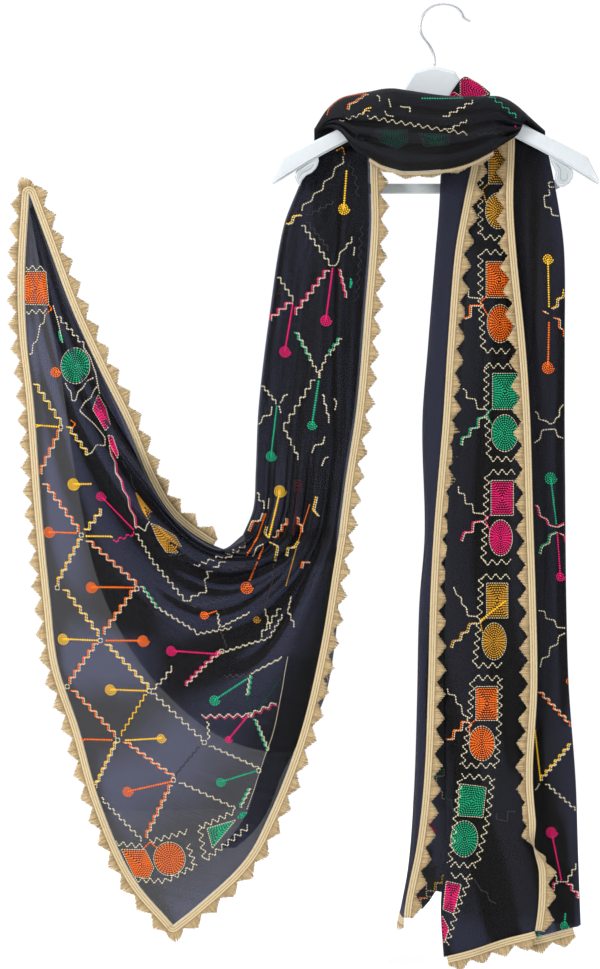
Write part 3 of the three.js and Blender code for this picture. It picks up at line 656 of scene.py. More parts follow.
def cowl_point(round_share, along):
    x = mix(COWL[0][0], COWL[-1][0], along)
    low, top, back, front, rear = (read_column(COWL, column, x) for column in (1, 2, 3, 4, 5))
    back = min(max(back, SHOULDER_Z), top - 1)
    radius = (rear - front) / 2
    crest = min(radius, (top - low) * 0.8, CREST_LIMIT)
    fullness = smooth(radius, 6, 24)
    if round_share < FRONT_SHARE:
        share = round_share / FRONT_SHARE
        wave = COWL_FOLD_DEPTH * math.sin(2 * math.pi * (COWL_FOLDS * share + 0.4 * along))
        for middle, half_width, depth, first, last in COWL_CREASES:
            run = run_between(along, first, last, 0.15, 0.15)
            bow = middle + 0.06 * math.sin(math.pi * along)
            wave += depth * math.exp(-((share - bow) / half_width) ** 2) * run
        y = front + (8 * (1 - share) ** 2 + wave * math.sin(math.pi * share)) * fullness
        return x, y, mix(low, top - crest, share)
    foot = max(back, top - crest)
    if round_share < CREST_SHARE:
        turn = math.pi * (round_share - FRONT_SHARE) / (CREST_SHARE - FRONT_SHARE)
        base = mix(top - crest, foot, turn / math.pi)
        return x, (front + rear) / 2 - radius * math.cos(turn), base + (top - base) * math.sin(turn)
    share = (round_share - CREST_SHARE) / (1 - CREST_SHARE)
    return x, rear, mix(foot, min(back, foot - 1), share)


def cowl_grid(row_count=170, column_count=110):
    return np.array([[cowl_point(float(u), float(v)) for u in np.linspace(0, 1, column_count)]
                     for v in np.linspace(0, 1, row_count)])


PEAK = [  # x, low, top
    (2, -138, -124), (12, -138, -107), (25, -138, -92), (38, -136, -96.5), (48, -132, -103),
    (58, -130, -111.5),
]


def peak_grid(row_count=60, column_count=40):
    rows = []
    for along in np.linspace(0, 1, row_count):
        x = mix(PEAK[0][0], PEAK[-1][0], along)
        y = -10.6 - 1.1 * smooth(x, 30, 60)
        low, top = read_column(PEAK, 1, x), read_column(PEAK, 2, x)
        rows.append([(x, y, mix(low, top, upward)) for upward in np.linspace(0, 1, column_count)])
    return np.array(rows)


# ---- Lace ----

def resample(points, spacing):
    """Points at an even spacing along a line, and the line's length."""
    points = np.asarray(points, float)
    reach = np.concatenate([[0], np.cumsum(np.linalg.norm(np.diff(points, axis=0), axis=1))])
    count = max(int(round(reach[-1] / spacing)), 1)
    places = np.linspace(0, reach[-1], count + 1)
    return np.stack([np.interp(places, reach, points[:, k]) for k in range(points.shape[1])], -1), reach[-1]


def unit(vectors):
    return vectors / np.maximum(np.linalg.norm(vectors, axis=-1, keepdims=True), 1e-9)


def out_from(edge, inside):
    """The ways from a line inside the cloth straight out across its edge."""
    along = unit(np.gradient(edge, axis=0))
    way = (edge - inside) * HANGING
    way = way - along * np.sum(way * along, axis=1, keepdims=True)
    kernel = np.ones(9) / 9
    padded = np.pad(unit(way), ((4, 4), (0, 0)), mode="edge")
    return unit(np.stack([np.convolve(padded[:, k], kernel, "valid") for k in range(3)], -1))


def upright_ways(edge):
    """The ways across a line, kept in the upright plane that the cloth hangs in. It runs down and right, and
    they point up and right."""
    along = unit(np.gradient(edge, axis=0))
    return unit(np.stack([-along[:, 2], np.zeros(len(edge)), along[:, 0]], -1))


def lace_along(name, edge, ways, turn_from=None):
    """A corded tape with a fringe cut in points. The fringe is a row of flat threads side by side. At a
    corner the tape's gathered turn fans round from the way of the lace before it."""
    if turn_from is not None:
        fan = np.array([unit(mix(turn_from, ways[0], share)) for share in np.linspace(0, 1, 9)[:-1]])
        edge = np.concatenate([np.repeat(edge[:1], len(fan), axis=0), edge])
        ways = np.concatenate([fan, ways])
    both, length = resample(np.concatenate([edge, ways * CORNER_REACH], axis=1), 4.0)
    edge, ways = both[:, :3], unit(both[:, 3:])
    tips = max(round(length / LACE_PITCH), 1)
    courses = unit(np.gradient(edge + ways * TAPE_WIDTH, axis=0))
    facing = unit(np.cross(courses, ways))
    points, tones = [], []
    # The tape: a ribbed section carried along the edge.
    ribs = TAPE_CORDS * 3 + 1
    across = np.linspace(SEAM_GAP, TAPE_WIDTH, ribs)
    thick = TAPE_THIN + TAPE_CORD * np.abs(np.sin(math.pi * TAPE_CORDS * np.linspace(0, 1, ribs)))
    ring = [(a, t) for a, t in zip(across, thick)] + [(a, -t) for a, t in zip(across[::-1], thick[::-1])]
    for place, way, face in zip(edge, ways, facing):
        points += [place + way * a + face * t for a, t in ring]
        # Painted shade: the cords are painted light and the thin tape between them dark.
        tones += [0.9 * (abs(t) - TAPE_THIN) / TAPE_CORD for _, t in ring]
    faces = tube_faces(len(edge), len(ring))
    kinds = [0] * len(faces)
    # The fringe.
    count = int(length / STRAND_SPACING)
    steps = np.linspace(0, len(edge) - 1, count)
    for n, step in enumerate(steps):
        i = min(int(step), len(edge) - 2)
        part = step - i
        place, way = mix(edge[i], edge[i + 1], part), unit(mix(ways[i], ways[i + 1], part))
        face, along = unit(mix(facing[i], facing[i + 1], part)), unit(mix(courses[i], courses[i + 1], part))
        turn = n / count * tips % 1
        tooth = 1 - abs(2 * turn - 1)
        tip = mix(LACE_VALLEY, LACE_TIP, tooth) * (1 + RAGGED * chance.uniform(-1, 0.5))
        lean = along * chance.uniform(-0.6, 0.6)
        lift = face * (chance.uniform(-0.5, 0.5) + 0.9 * math.sin(n / count * tips * 2.3))
        # Painted shade: each thread is darker at its root by the tape and lighter to its tip, and lighter in
        # the points than in the crowded valleys; the rest differs at random.
        tone_and_painted_shade = chance.uniform(0.1, 0.8) + 0.25 * tooth
        start = len(points)
        for share, width in ((0, 1.0), (0.55, 1.1), (1, 0.7)):
            centre = place + way * mix(TAPE_WIDTH - 0.8, tip, share) + (lean + lift) * share ** 2
            half, depth = STRAND_WIDTH / 2 * width, 0.32 * width
            points += [centre + along * half, centre + face * depth,
                       centre - along * half, centre - face * depth]
            tones += [tone_and_painted_shade * (0.45 + 0.55 * share)] * 4
        for ring_start in (start, start + 4):
            for k in range(4):
                after = (k + 1) % 4
                faces.append((ring_start + k, ring_start + after, ring_start + 4 + after, ring_start + 4 + k))
        faces += [(start + 3, start + 2, start + 1, start), (start + 8, start + 9, start + 10, start + 11)]
        kinds += [1] * 10
    piece = mesh_object(name, points, faces, [LACE_TAPE, LACE_FRINGE], kinds)
    write_values(piece, "tone_and_painted_shade", tones)
    face_outwards(piece)
    return piece


# ---- Embroidery ----

def view_place(spot):
    """A place on the chart, in millimetres: x and z of the front view."""
    return np.array([(spot[0] - VIEW_HOOK[0]) * VIEW_STEP, (VIEW_HOOK[1] - spot[1]) * VIEW_STEP])


def stairs(start, end, count, tilt=0):
    """A stepped line, its treads and risers along axes tilted by some degrees."""
    turn = math.radians(tilt)
    first, second = np.array([math.cos(turn), math.sin(turn)]), np.array([-math.sin(turn), math.cos(turn)])
    start, end = np.array(start, float), np.array(end, float)
    tread, riser = first * np.dot(end - start, first) / count, second * np.dot(end - start, second) / count
    spots = [start]
    for _ in range(count):
        spots += [spots[-1] + tread, spots[-1] + tread + riser]
    return spots


def zigzag(spots, tooth=8.0, depth=4.0):
    """Teeth along a line through some places."""
    line, length = resample(np.array(spots, float), 0.5)
    count = max(int(round(2 * length / tooth)), 2)
    picks = np.linspace(0, len(line) - 1, count + 1).astype(int)
    ways = unit(np.gradient(line, axis=0))
    sides = np.stack([-ways[:, 1], ways[:, 0]], -1)
    return [line[k] + sides[k] * depth / 2 * (1 if n % 2 else -1) for n, k in enumerate(picks)]


def spiral(centre, radius):
    turns = radius * VIEW_STEP / FILL_SPACING
    count = int(turns * 16)
    return [(centre[0] + radius * (1 - n / count) * math.cos(2 * math.pi * turns * n / count),
             centre[1] + radius * (1 - n / count) * math.sin(2 * math.pi * turns * n / count))
            for n in range(count)]


def ellipse(centre, half_width, half_height, count=28):
    return [(centre[0] + half_width * math.cos(2 * math.pi * n / count),
             centre[1] + half_height * math.sin(2 * math.pi * n / count)) for n in range(count)]


def box_outline(centre, half_width, half_height):
    x, z = centre
    return [(x - half_width, z - half_height), (x + half_width, z - half_height),
            (x + half_width, z + half_height), (x - half_width, z + half_height)]


class Chart:
    """The strokes of one stretch: a thread colour, a width and places on the front view. Each kind of stroke
    has its colour first, then its places and its sizes."""

    def __init__(self):
        self.strokes = []

    def line(self, colour, spots, width=STITCH_WIDTH):
        self.strokes.append((colour, width, [view_place(spot) for spot in spots]))

    def route(self, colours, spots):
        """A line, or two side by side, the second in the colour that crosses there."""
        first, _, second = colours.partition("+")
        self.line(first, spots)
        if second:
            self.line(second, [(a + SECOND_LINE[0], d + SECOND_LINE[1]) for a, d in spots])

    def steps(self, colours, spots, count, tilt=0):
        self.route(colours, stairs(*spots, int(count), tilt))

    def teeth(self, colour, spots, tooth, depth, width=STITCH_WIDTH):
        self.line(colour, zigzag(spots, tooth, depth), width)

    def stem(self, colour, spots):
        self.line(colour, spots, PIN_WIDTH)

    def disc(self, colour, spots, radius):
        self.line(colour, spiral(spots[-1], radius))

    def pin(self, colour, spots, radius=5.5):
        """A stem and the disc at its end."""
        self.stem(colour, spots)
        self.disc(colour, spots, radius)

    def knot(self, colour, spots):
        """A small square at each crossing."""
        for a, d in spots:
            self.line(colour, closed(box_outline((a, d), 2, 2)), KNOT_WIDTH)

    def plain(self, colour, outline):
        """A motif filled ring within ring."""
        outline = np.array(outline, float)
        centre = outline.mean(axis=0)
        middles = (outline + np.roll(outline, -1, axis=0)) / 2
        reach = np.linalg.norm(middles - centre, axis=1).mean() * VIEW_STEP
        rings = max(int(round(reach / FILL_SPACING)), 2)
        for n in range(rings):
            self.line(colour, centre + (closed(outline) - centre) * (1 - (n + 0.5) / rings))

    def filled(self, colours, outline):
        """The same with an outline, in cream or in the colour named after a stroke."""
        colour, _, edge = colours.partition("/")
        centre = np.array(outline, float).mean(axis=0)
        self.line(edge or "cream", centre + (closed(outline) - centre) * 1.06, OUTLINE_WIDTH)
        self.plain(colour, outline)

    def round(self, colour, spots, half_width, half_height):
        self.filled(colour, ellipse(spots[0], half_width, half_height))

    def tile(self, colour, spots, half_width, half_height, round_width, round_height):
        """A square and a round of the border, with the link from the lattice that ties the two together."""
        (x, z), (round_x, round_z) = spots
        self.filled(colour, box_outline((x, z), half_width, half_height))
        self.filled(colour, ellipse((round_x, round_z), round_width, round_height))
        joint = (x - half_width - 7, (z + round_z) / 2 + 1)
        self.line(colour, [(x - half_width, z + half_height), joint, (round_x - round_width, round_z - 8)])


def closed(outline):
    outline = np.array(outline, float)
    return np.concatenate([outline, outline[:1]])


def read_chart(table):
    """A chart from a table. Each row has a kind of stroke, a colour, its sizes and its places, across,down.
    An indented line goes on with the row above it."""
    chart = Chart()
    for row in table.strip().replace("\n  ", " ").splitlines():
        if not row.startswith("#"):
            kind, colour, *words = row.split()
            spots = [tuple(float(part) for part in word.split(",")) for word in words if "," in word]
            sizes = [float(word) for word in words if "," not in word]
            getattr(chart, kind)(colour, spots, *sizes)
    return chart


def stitch_on(name, chart, cloth, backs=False):
    """Works the strokes onto the cloth: each link of the chain is a small grain on its surface."""
    tree = ray_tree(cloth)
    side = 1 if backs else -1
    points, faces, tones, kinds = [], [], [], []
    colours = sorted({colour for colour, _, _ in chart.strokes})
    for colour, width, spots in chart.strokes:
        bends = np.array(spots)
        straight = np.linalg.norm(np.diff(bends, axis=0), axis=1).mean() > STITCH * 0.8
        fine = resample(bends, 0.8)[0]
        if straight:
            # A stepped line turns where a stitch ends.
            pieces = [resample(pair, STITCH)[0] for pair in zip(bends, bends[1:])]
            fine = np.concatenate([part[:-1] for part in pieces] + [bends[-1:]])
        run = []
        runs = [run]
        for x, z in fine:
            hit, normal, _, _ = tree.ray_cast(Vector((x, side * RAY_START, z)) * MM, Vector((0, -side, 0)))
            if hit is None or (run and abs(hit.y / MM - run[-1][0][1]) > SURFACE_JUMP):
                run = []
                runs.append(run)
            if hit is not None:
                outward = np.array(normal) * (1 if normal.y * side > 0 else -1)
                run.append((np.array(hit) / MM, outward))
        for run in runs:
            if len(run) < 2:
                continue
            both = np.array([np.concatenate(pair) for pair in run])
            if not straight:
                both = resample(both, STITCH)[0]
            places, normals = both[:, :3], unit(both[:, 3:])
            for k in range(len(places) - 1):
                along = places[k + 1] - places[k]
                length = max(np.linalg.norm(along), 0.1)
                along = along / length
                up = unit(normals[k] + normals[k + 1])
                cross = unit(np.cross(along, up))
                centre = (places[k] + places[k + 1]) / 2 - up * (SHELL_WALL / 2)
                half = length * LINK_OVERLAP
                wide = width / 2 * chance.uniform(0.9, 1.1)
                start = len(points)
                head = centre + along * length * 0.12
                points += [centre - along * half, centre + along * half, head + cross * wide,
                           head - cross * wide, head + up * LINK_HEIGHT, head - up * LINK_ROOT]
                # Painted shade and highlight: each link is darker at its two ends and down at its root, and
                # lightest at its crown; the rest differs at random.
                tone_and_painted_shade = chance.uniform(0.6, 1)
                tones += [0.3, 0.45, tone_and_painted_shade * 0.8, tone_and_painted_shade * 0.8, tone_and_painted_shade, tone_and_painted_shade * 0.6]
                a, b, c, d, e, f = range(start, start + 6)
                faces += [(a, c, e), (c, b, e), (b, d, e), (d, a, e),
                          (c, a, f), (b, c, f), (d, b, f), (a, d, f)]
                kinds += [colours.index(colour)] * 8
    piece = mesh_object(name, points, faces, [THREADS[colour] for colour in colours], kinds)
    write_values(piece, "tone_and_painted_shade", tones)
    face_outwards(piece)
    return piece


# Each stretch has a chart in view steps, read by read_chart.
SWAG_CHART = """
# The raised corner's tiles.
teeth cream 8 5 2.3 24,267 44,268
filled orange 23,272 45,272 48,304 23,303
teeth cream 7 5 2.3 25,312 47,311
line orange 48,304 52,309 46,314
route cream 45,314 44,323 40,325 39,333 37,341 33,344 32,354 29,354
route cream 53,305 59,325 63,343
plain green 58,329 62,335 64,345 60,340
steps cream 5 56,317 84,348
route cream 84,348 90,356 96,373 100,394
round green 13.5 17 76,366
pin orange 61,372 56,372
route cream 66,383 69,389 72,392 73,401 77,401 79,392 84,388 88,381 94,378
route cream 99,385 95,390 92,398 86,402 81,411 86,416 94,423 100,430 106,438 106,446 98,445 92,453 86,455
filled pink 99,396 94,410 99,418 106,430 111,425 106,408
filled pink 109,436 114,437 119,453 118,458 111,445
route cream+pink 110,445 112,455 116,462 117,473 122,480 124,490 129,497 130,508 135,516 136,527
route under_cream 123,460 127,468
route under_cream 131,474 133,483 137,490
plain gold 136,491 145,502 154,513 150,521 141,504
filled gold 153,524 160,526 176,536 182,546 177,552 167,551 159,539
route cream 136,528 139,526 146,531 148,525 151,521
# Stems and their discs, and the knots at the crossings.
pin yellow 2.5 60,427 36,425
pin orange 6 78,533 49,532
pin yellow 1.5 86,536 113,536
pin orange 6 137,587 92,587
pin yellow 6 99,640 63,639
pin orange 6 106,640 144,640
pin yellow 6 148,690 111,689
pin orange 3 113,740 81,740
pin yellow 5 125,740 162,737
pin orange 5.5 174,780 128,791
pin green 5 258,770 221,781
pin yellow 6.5 93,484 74,484
pin pink 5 135,530 102,496
pin green 5.5 249,677 215,699
pin pink 5.5 221,654 172,650
pin pink 4 249,714 229,738
pin orange 4.5 218,610 205,614
pin under_green 1.5 281,677 259,708
knot cream 61,427 82,535 57,588 138,588 101,640 67,687 150,690 118,740 205,741 174,779 259,770 222,651
  250,714
# The lattice.
steps yellow+cream 5 32,384 60,426
steps orange+cream 5 61,430 40,474
steps cream+orange 6 42,484 78,532
steps yellow+cream 6 82,539 57,585
steps cream+orange 7 86,541 136,585
steps orange+cream 6 136,590 104,634
steps yellow+cream 6 62,590 98,636
steps orange+cream 6 98,643 69,684
steps yellow+cream 7 105,644 148,688
steps orange+cream 7 70,691 114,737
steps yellow 7 148,694 122,736
steps cream 8 151,693 202,740
steps cream 2 152,688 162,678
steps cream 2 162,678 172,665
steps yellow+cream 7 117,742 95,788
steps orange+cream 7 123,742 173,777
steps under_cream 6 201,746 177,775
steps cream 8 209,745 259,769
steps cream 8 179,782 235,809
steps orange+cream 7 172,784 146,838
steps cream 8 98,798 141,842
steps cream 3 45 207,720 208,738
steps yellow+cream 3 84,529 101,508
steps cream+green 4 141,586 156,607
steps cream 7 156,607 196,632
steps cream 6 45 196,632 232,626
steps cream 5 45 222,625 250,611
steps cream 3 45 217,612 219,627
steps under_cream 4 45 219,627 226,647
steps cream 4 45 225,650 250,642
steps cream 3 45 250,642 268,637
steps cream 4 268,637 282,614
steps pink+cream 3 222,651 205,666
steps pink+cream 4 205,666 186,685
steps cream 5 45 251,672 282,656
steps under_cream 4 45 224,674 250,673
steps cream+green 4 45 249,674 246,694
steps under_green 4 45 246,694 250,711
steps green+cream 6 30 253,718 266,750
steps green+cream 4 250,788 240,807
steps cream 5 136,534 154,564
steps cream 6 154,564 184,600
steps cream 2 192,595 207,589
steps cream 6 207,571 245,543
steps cream 6 20 194,564 240,547
steps under_cream 6 30 192,604 230,596
steps under_cream 4 45 169,554 187,552
steps under_gold 2 232,569 245,563
steps yellow+cream 4 66,427 86,455
route cream 184,600 192,600 192,595
route cream 207,589 205,579 209,577 207,571
line orange 71,420 76,424 73,428
teeth pink 7 4 115,541 136,533
teeth cream 9 4 202,715 249,714 276,702
teeth pink 9 4 1.6 203,716 250,716 277,704
# The low corner's tiles and their boxes.
filled orange 122,851 145,851 153,868 148,879 134,877
round orange 15 16 169.5,859
line orange 142,851 150,842 157,848
teeth cream 8 5.5 2.3 115,844 144,847
teeth cream 8 5.5 2.3 150,842 188,831
teeth cream 8 5.5 2.3 188,844 195,866
teeth cream 8 5.5 2.3 134,881 165,882 195,866
teeth cream 8 5.5 2.3 200,827 205,860
teeth cream 8 5.5 2.3 205,860 249,826
teeth cream 8 5.5 2.3 200,827 235,811
filled green 208,828 235,820 213,847
plain green 236,818 241,812 249,811 243,818
# The running line along the border.
line cream 1.4 288,656 285,672 283,685 280,701 276,722 272,737 266,753 259,774 254,790 247,809
"""

LEFT_FALL_CHART = """
route gold 336,150 343,146 345,154
route cream 343,155 344,162 335,167 333,176 324,181 323,189 314,193 312,200 303,204 302,210
route yellow+cream 301,214 293,215 291,222 286,223
steps cream 6 301,225 329,265
route cream 329,265 336,265 339,260 340,252 347,247 347,243 352,242 352,236
route cream 355,246 354,255
steps under_cream 4 306,214 333,200
steps under_cream 5 306,222 328,250
steps pink+cream 6 329,270 295,314
steps pink+cream 4 338,269 345,297
pin pink 6 333,267 326,320
pin pink 6 293,303 285,351
pin yellow 6 347,169 344,208
steps cream 4 277,277 293,301
steps pink+cream 3 292,302 270,320
steps green+cream 4 294,332 309,360
steps green+cream 3 341,338 329,355
plain green 351,276 353,283 350,289
steps cream 3 309,360 320,378
steps cream 3 329,355 319,378
steps cream 4 261,386 276,404
route cream 280,403 283,399 283,396 288,394
route cream 272,406 271,415 263,416 261,423 256,425
route cream 279,405 281,413
pin green 5.5 277,405 271,456
pin green 5 319,380 312,425
steps cream 6 316,380 284,431
steps cream 4 284,431 298,460
steps cream 3 322,395 329,423
route cream 325,436 323,444 315,445 312,453
route cream 329,457 325,458 322,466
route cream 334,398 337,402 335,410
pin yellow 6.5 269,538 280,491
steps cream 2 254,493 264,509
route cream 269,498 268,509
stem orange 266,513 257,539 245,558
route cream+orange 263,513 260,521 252,521 248,531
route yellow+cream 266,526 264,533 268,538
steps cream+orange 3 272,537 286,518
route yellow+cream 269,542 277,546 276,553 274,561
route under_gold 274,561 273,576
route cream 264,544 257,547 253,557
pin orange 6.5 264,546 247,587
plain under_red 294,479 302,479 302,493 294,493
stem under_red 297,493 295,520 293,535
steps orange+cream 2 294,517 301,532
line orange 2 310,504 299,539
line gold 2 299,539 286,586
route yellow+cream 298,541 294,547 287,548 286,556
route orange+cream 309,562 302,562 301,568
route yellow+cream 316,496 313,510 318,516
steps cream 3 264,609 270,629
steps cream 4 282,609 262,637
steps cream 3 292,597 288,614
steps cream 2 288,614 294,627
line under_gold 2 274,577 264,611
disc gold 4 257,619
teeth under_cream 9 4 1.5 362,225 360,262 357,300
teeth under_cream 9 4 1.5 349,160 356,178 358,196
"""

COWL_CHART = """
line orange 3 327,116 329,109 335,103 344,98 355,96 366,95
route orange+cream 347,112 348,106 355,104 357,101 361,100 362,97 367,96
route cream 376,98 379,100 379,105
route cream 388,102 390,111
route cream 399,110 403,111 409,111 409,116
route cream 384,114 386,119 393,120
teeth cream 7 3 2.0 339,123 357,119 369,113
line yellow 362,117 365,112 371,111
teeth cream 9 4 2.2 366,120 400,126 435,132 466,137
steps cream 4 441,120 471,103
steps cream 3 446,132 465,123
line green 3.2 420,102 440,102 462,101
steps green 4 487,100 515,120
line pink 513,124 515,129 519,131
teeth under_cream 8 2 1.6 475,138 507,134
filled under_green/under_cream 376,134 406,134 406,146 396,151 380,144
filled under_green/under_cream 418,137 448,138 446,148 424,149
teeth under_cream 9 4 1.6 352,128 356,140 369,146
"""

PEAK_CHART = """
filled pink 461,79 470,79 480,85 488,94 474,98 461,97
filled pink 452,91 465,99 447,100
"""

RIGHT_FALL_CHART = """
tile gold 10 17 12 17 500,165 499,210
tile orange 12.5 17 12.5 18 500,279 501,323
tile green 12 17 12.5 17.5 506,391 505.5,433
tile pink 10.5 16.5 11 17 503,498 501.5,538
tile gold 10 16.5 11.5 17.5 498,601 495,642
tile orange 10.5 16 12 16.5 487.5,704 482.5,744
filled green 461,786 486,789 483,818 459,816
round green 13 17 465,840
filled pink 447,883 461,886 454,914 444,910
filled pink 443,918 449,930 445,944 437,934
# Lines of teeth round the tiles.
teeth cream 9 6 2.3 482,155 481,180 481,236 505,238
teeth cream 9 6 2.3 510,252 482,251
teeth cream 9 6 2.3 481,252 481,300 484,350
teeth cream 9 6 2.3 484,350 511,351
teeth cream 9 6 2.3 513,366 485,365
teeth cream 9 6 2.3 487,366 487,410 490,458
teeth cream 9 6 2.3 490,459 516,459
teeth cream 9 6 2.3 516,472 490,472
teeth cream 9 6 2.3 488,474 486,520 484,562
teeth cream 9 6 2.3 484,563 512,562
teeth cream 9 6 2.3 511,577 482,577
teeth cream 9 6 2.3 482,577 480,620 475,666
teeth cream 9 6 2.3 475,666 503,666
teeth cream 9 6 2.3 502,679 474,678
teeth cream 9 6 2.3 473,680 470,722 463,766
teeth cream 9 6 2.3 463,767 496,766
teeth cream 9 6 2.3 501,679 500,722 497,766
teeth cream 9 6 2.3 462,777 493,779
teeth cream 9 6 2.3 493,779 488,822 478,865
teeth cream 9 6 2.3 477,867 451,865
teeth cream 9 6 2.3 451,876 471,878
teeth cream 9 6 2.3 471,878 459,906 447,946
teeth cream 9 6 2.3 461,780 456,822 450,864
# Where the lattice meets the border, on the left.
route cream 469,288 469,297 481,298
route orange+cream 481,305 470,305 470,316 464,318
route cream 463,388 467,391 467,398 476,399 478,409 487,409
route green+cream 487,416 478,418 478,427 470,428 469,436 462,437 461,445
route cream 459,486 459,493 465,494 466,504 473,504 474,513 485,514
route pink+cream 482,521 473,522 472,532 464,532 461,541
route cream 454,587 457,595 462,598 462,604 467,608 468,616 478,617
route gold+cream 477,623 469,624 467,632 461,633 460,640 453,641 451,648
route cream 448,689 449,695 456,696 457,704 462,706 463,715 471,719
route orange+cream 469,723 462,722 461,731 454,731 453,740 446,740
route under_green 446,793 447,800 452,801 453,810 456,816
route under_cream 497,814 497,820 508,822 508,812 516,812
route under_cream 475,880 482,892 488,894 490,902 497,905
# The outer panel.
route cream 556,178 556,186 550,186 550,181 556,181
route cream 550,188 551,194 545,195 546,206 552,207 553,214 560,215
route yellow+cream 552,308 558,305 558,298 564,296 565,288
route orange+cream 554,317 560,318 560,327 565,329 565,336
route orange+cream 543,310 548,313
route cream 536,411 539,413 540,419 548,421 551,424 556,422 557,418 561,416 561,409 565,404
route cream 535,443 541,439 543,430 551,429 557,429 559,436 565,438
route pink+cream 535,505 538,506 540,516 547,519 549,525 558,527 566,523
route green+cream 558,532 550,535 549,543 542,546 540,554
route pink+cream 560,533 566,536 567,543
route cream 539,611 546,612 547,619 556,621 558,628 567,629
route cream 567,634 560,637 559,645 551,648 550,657 543,659 541,668
route cream 533,798 534,792 538,791 541,785
steps orange+cream 6 538,693 571,728
steps yellow+cream 7 573,745 542,782
steps cream 6 546,786 576,812
steps cream 3 543,865 558,884
steps cream 3 566,884 577,865
steps pink+cream 2 558,885 550,900
steps pink+cream 2 567,886 578,900
line cream 558,884 566,884
pin yellow 5.5 550,307 549,258
pin orange 6.5 550,321 549,367
pin green 6.5 558,525 552,478
pin pink 5 559,534 562,577
pin yellow 1.5 542,783 536,731
pin pink 6 563,883 553,834
pin green 5 567,915 566,928
pin orange 4 572,690 571,682
stem yellow 480,622 493,612 507,601
"""

BACK_CYCLE = ["orange", "green", "pink", "yellow"]


def back_chart(first, last, rows, pitch=108):
    """The same lattice by rule, for the sides that face the back: crossings with a stem each way."""
    c = Chart()
    half = pitch / 2
    for row in range(rows):
        for column in range(first, last):
            a = (column + 0.5 * (row % 2)) * pitch
            d = 250 + row * half
            colour = BACK_CYCLE[(column + row) % 4]
            c.steps("cream", [(a + 4, d + 4), (a + half - 4, d + half - 4)], 6)
            c.steps(colour + "+cream", [(a - 4, d + 4), (a - half + 4, d + half - 4)], 6)
            c.line("cream", closed(box_outline((a, d), 4, 3)))
            if row % 2 == 0:
                c.pin(colour, [(a, d + 4), (a, d + 42)])
    return c


# ---- The dressed dupatta ----

swag = swag_grid()
left_front = left_front_grid()
right = right_fall_grid()
cowl = cowl_grid()

cloth = {
    "raised_end": cloth_from_grid("dupatta_raised_end", np.concatenate([swag, left_front[1:]])),
    "swag_back": cloth_from_grid("dupatta_swag_back", swag_back_grid()),
    "left_fall": cloth_from_grid("dupatta_left_fall_behind", left_behind_grid()),
    "right_fall": cloth_from_grid("dupatta_right_fall", right, FOLDED_GEORGETTE),
    "front_cowl": cloth_from_grid("dupatta_front_cowl", cowl, ROLLED_GEORGETTE),
    "cowl_peak": cloth_from_grid("dupatta_cowl_peak", peak_grid(), ROLLED_GEORGETTE),
    "folded_border": cloth_from_grid("dupatta_folded_border", folded_border_grid()),
}


def evened(piece, values, rounds):
    """Values on the vertices, each time averaged with those of the vertices next to it."""
    ends = np.empty(len(piece.data.edges) * 2, int)
    piece.data.edges.foreach_get("vertices", ends)
    first, second = ends.reshape(-1, 2).T
    even = np.array(values, float)
    for _ in range(rounds):
        total, near = even.copy(), np.ones(len(even))
        np.add.at(total, first, even[second])
        np.add.at(total, second, even[first])
        np.add.at(near, first, 1)
        np.add.at(near, second, 1)
        even = total / near
    return even


SHADE_ROUNDS = 7
COURSE_ROUNDS = 24


def mark_layers(pieces):
    """Writes on each vertex how much see-through light is painted into the cloth's colour there: 1 with no
    other layer before or behind it, and little with one. Rolled cloth never gets any."""
    trees = [ray_tree(piece) for piece in pieces]
    step = Vector((0, 1.5 * MM, 0))
    for piece in pieces:
        painted_see_through = []
        rolled = piece.data.materials[0] == ROLLED_GEORGETTE
        for vertex in piece.data.vertices:
            others = 2 if rolled else 0
            for tree, side in ((tree, side) for tree in trees for side in (1, -1)):
                place = vertex.co + side * step
                while others < 2:
                    hit = tree.ray_cast(place, side * step)[0]
                    if hit is None:
                        break
                    others += 1
                    place = hit + side * step
                if others >= 2:
                    break
            painted_see_through.append((1.0, ONE_BEHIND, 0.0)[others])
        shades = evened(piece, painted_see_through, SHADE_ROUNDS)
        write_values(piece, "painted_see_through", shades)


def mark_painted_fold_shade(piece):
    """Writes how far each vertex stands out of the cloth's own even course, as the folds' painted shade."""
    count = len(piece.data.vertices)
    places = np.empty(count * 3)
    piece.data.vertices.foreach_get("co", places)
    depth = places.reshape(-1, 3)[:, 1].copy()
    even = evened(piece, depth, COURSE_ROUNDS)
    painted_fold_shade = np.clip(0.5 + (even - depth) / (2 * RIDGE_DEPTH * MM), 0, 1)
    write_values(piece, "painted_fold_shade", painted_fold_shade)


mark_layers(list(cloth.values()))
for piece in cloth.values():
    mark_painted_fold_shade(piece)


def lying(edge, y):
    """An edge laid flat in front of the middle panel, following its soft folds."""
    flat = edge.copy()
    flat[:, 1] = y + fall_relief(edge[:, 0], edge[:, 2])
    return flat


def sideways(edge, way):
    return np.tile(np.array(way, float), (len(edge), 1))


RAISED_LACE_ROWS = int(len(swag) * 0.92)   # below these its lace would lie inside the left fall
TWIST = (0.86, 0.93)      # shares of the fall's height between which the turned lace twists right round


def twisting_lace(name, edge):
    """The turned lace: it points left over the middle panel, twists round below and then points right."""
    share = np.linspace(0, 1, len(edge))
    turn = math.pi * (1 - smooth(share, *TWIST))
    ways = np.stack([np.cos(turn), -np.sin(turn), np.zeros(len(edge))], -1)
    flat = edge.copy()
    flat[:, 1] = mix(LYING_LACE_Y - 2.2, FALL_FRONT_Y, smooth(share, *TWIST))
    flat[:, 1] += fall_relief(edge[:, 0], edge[:, 2])
    flat[:, 0] -= 5 * np.sin(turn)
    return lace_along(name, flat, ways)


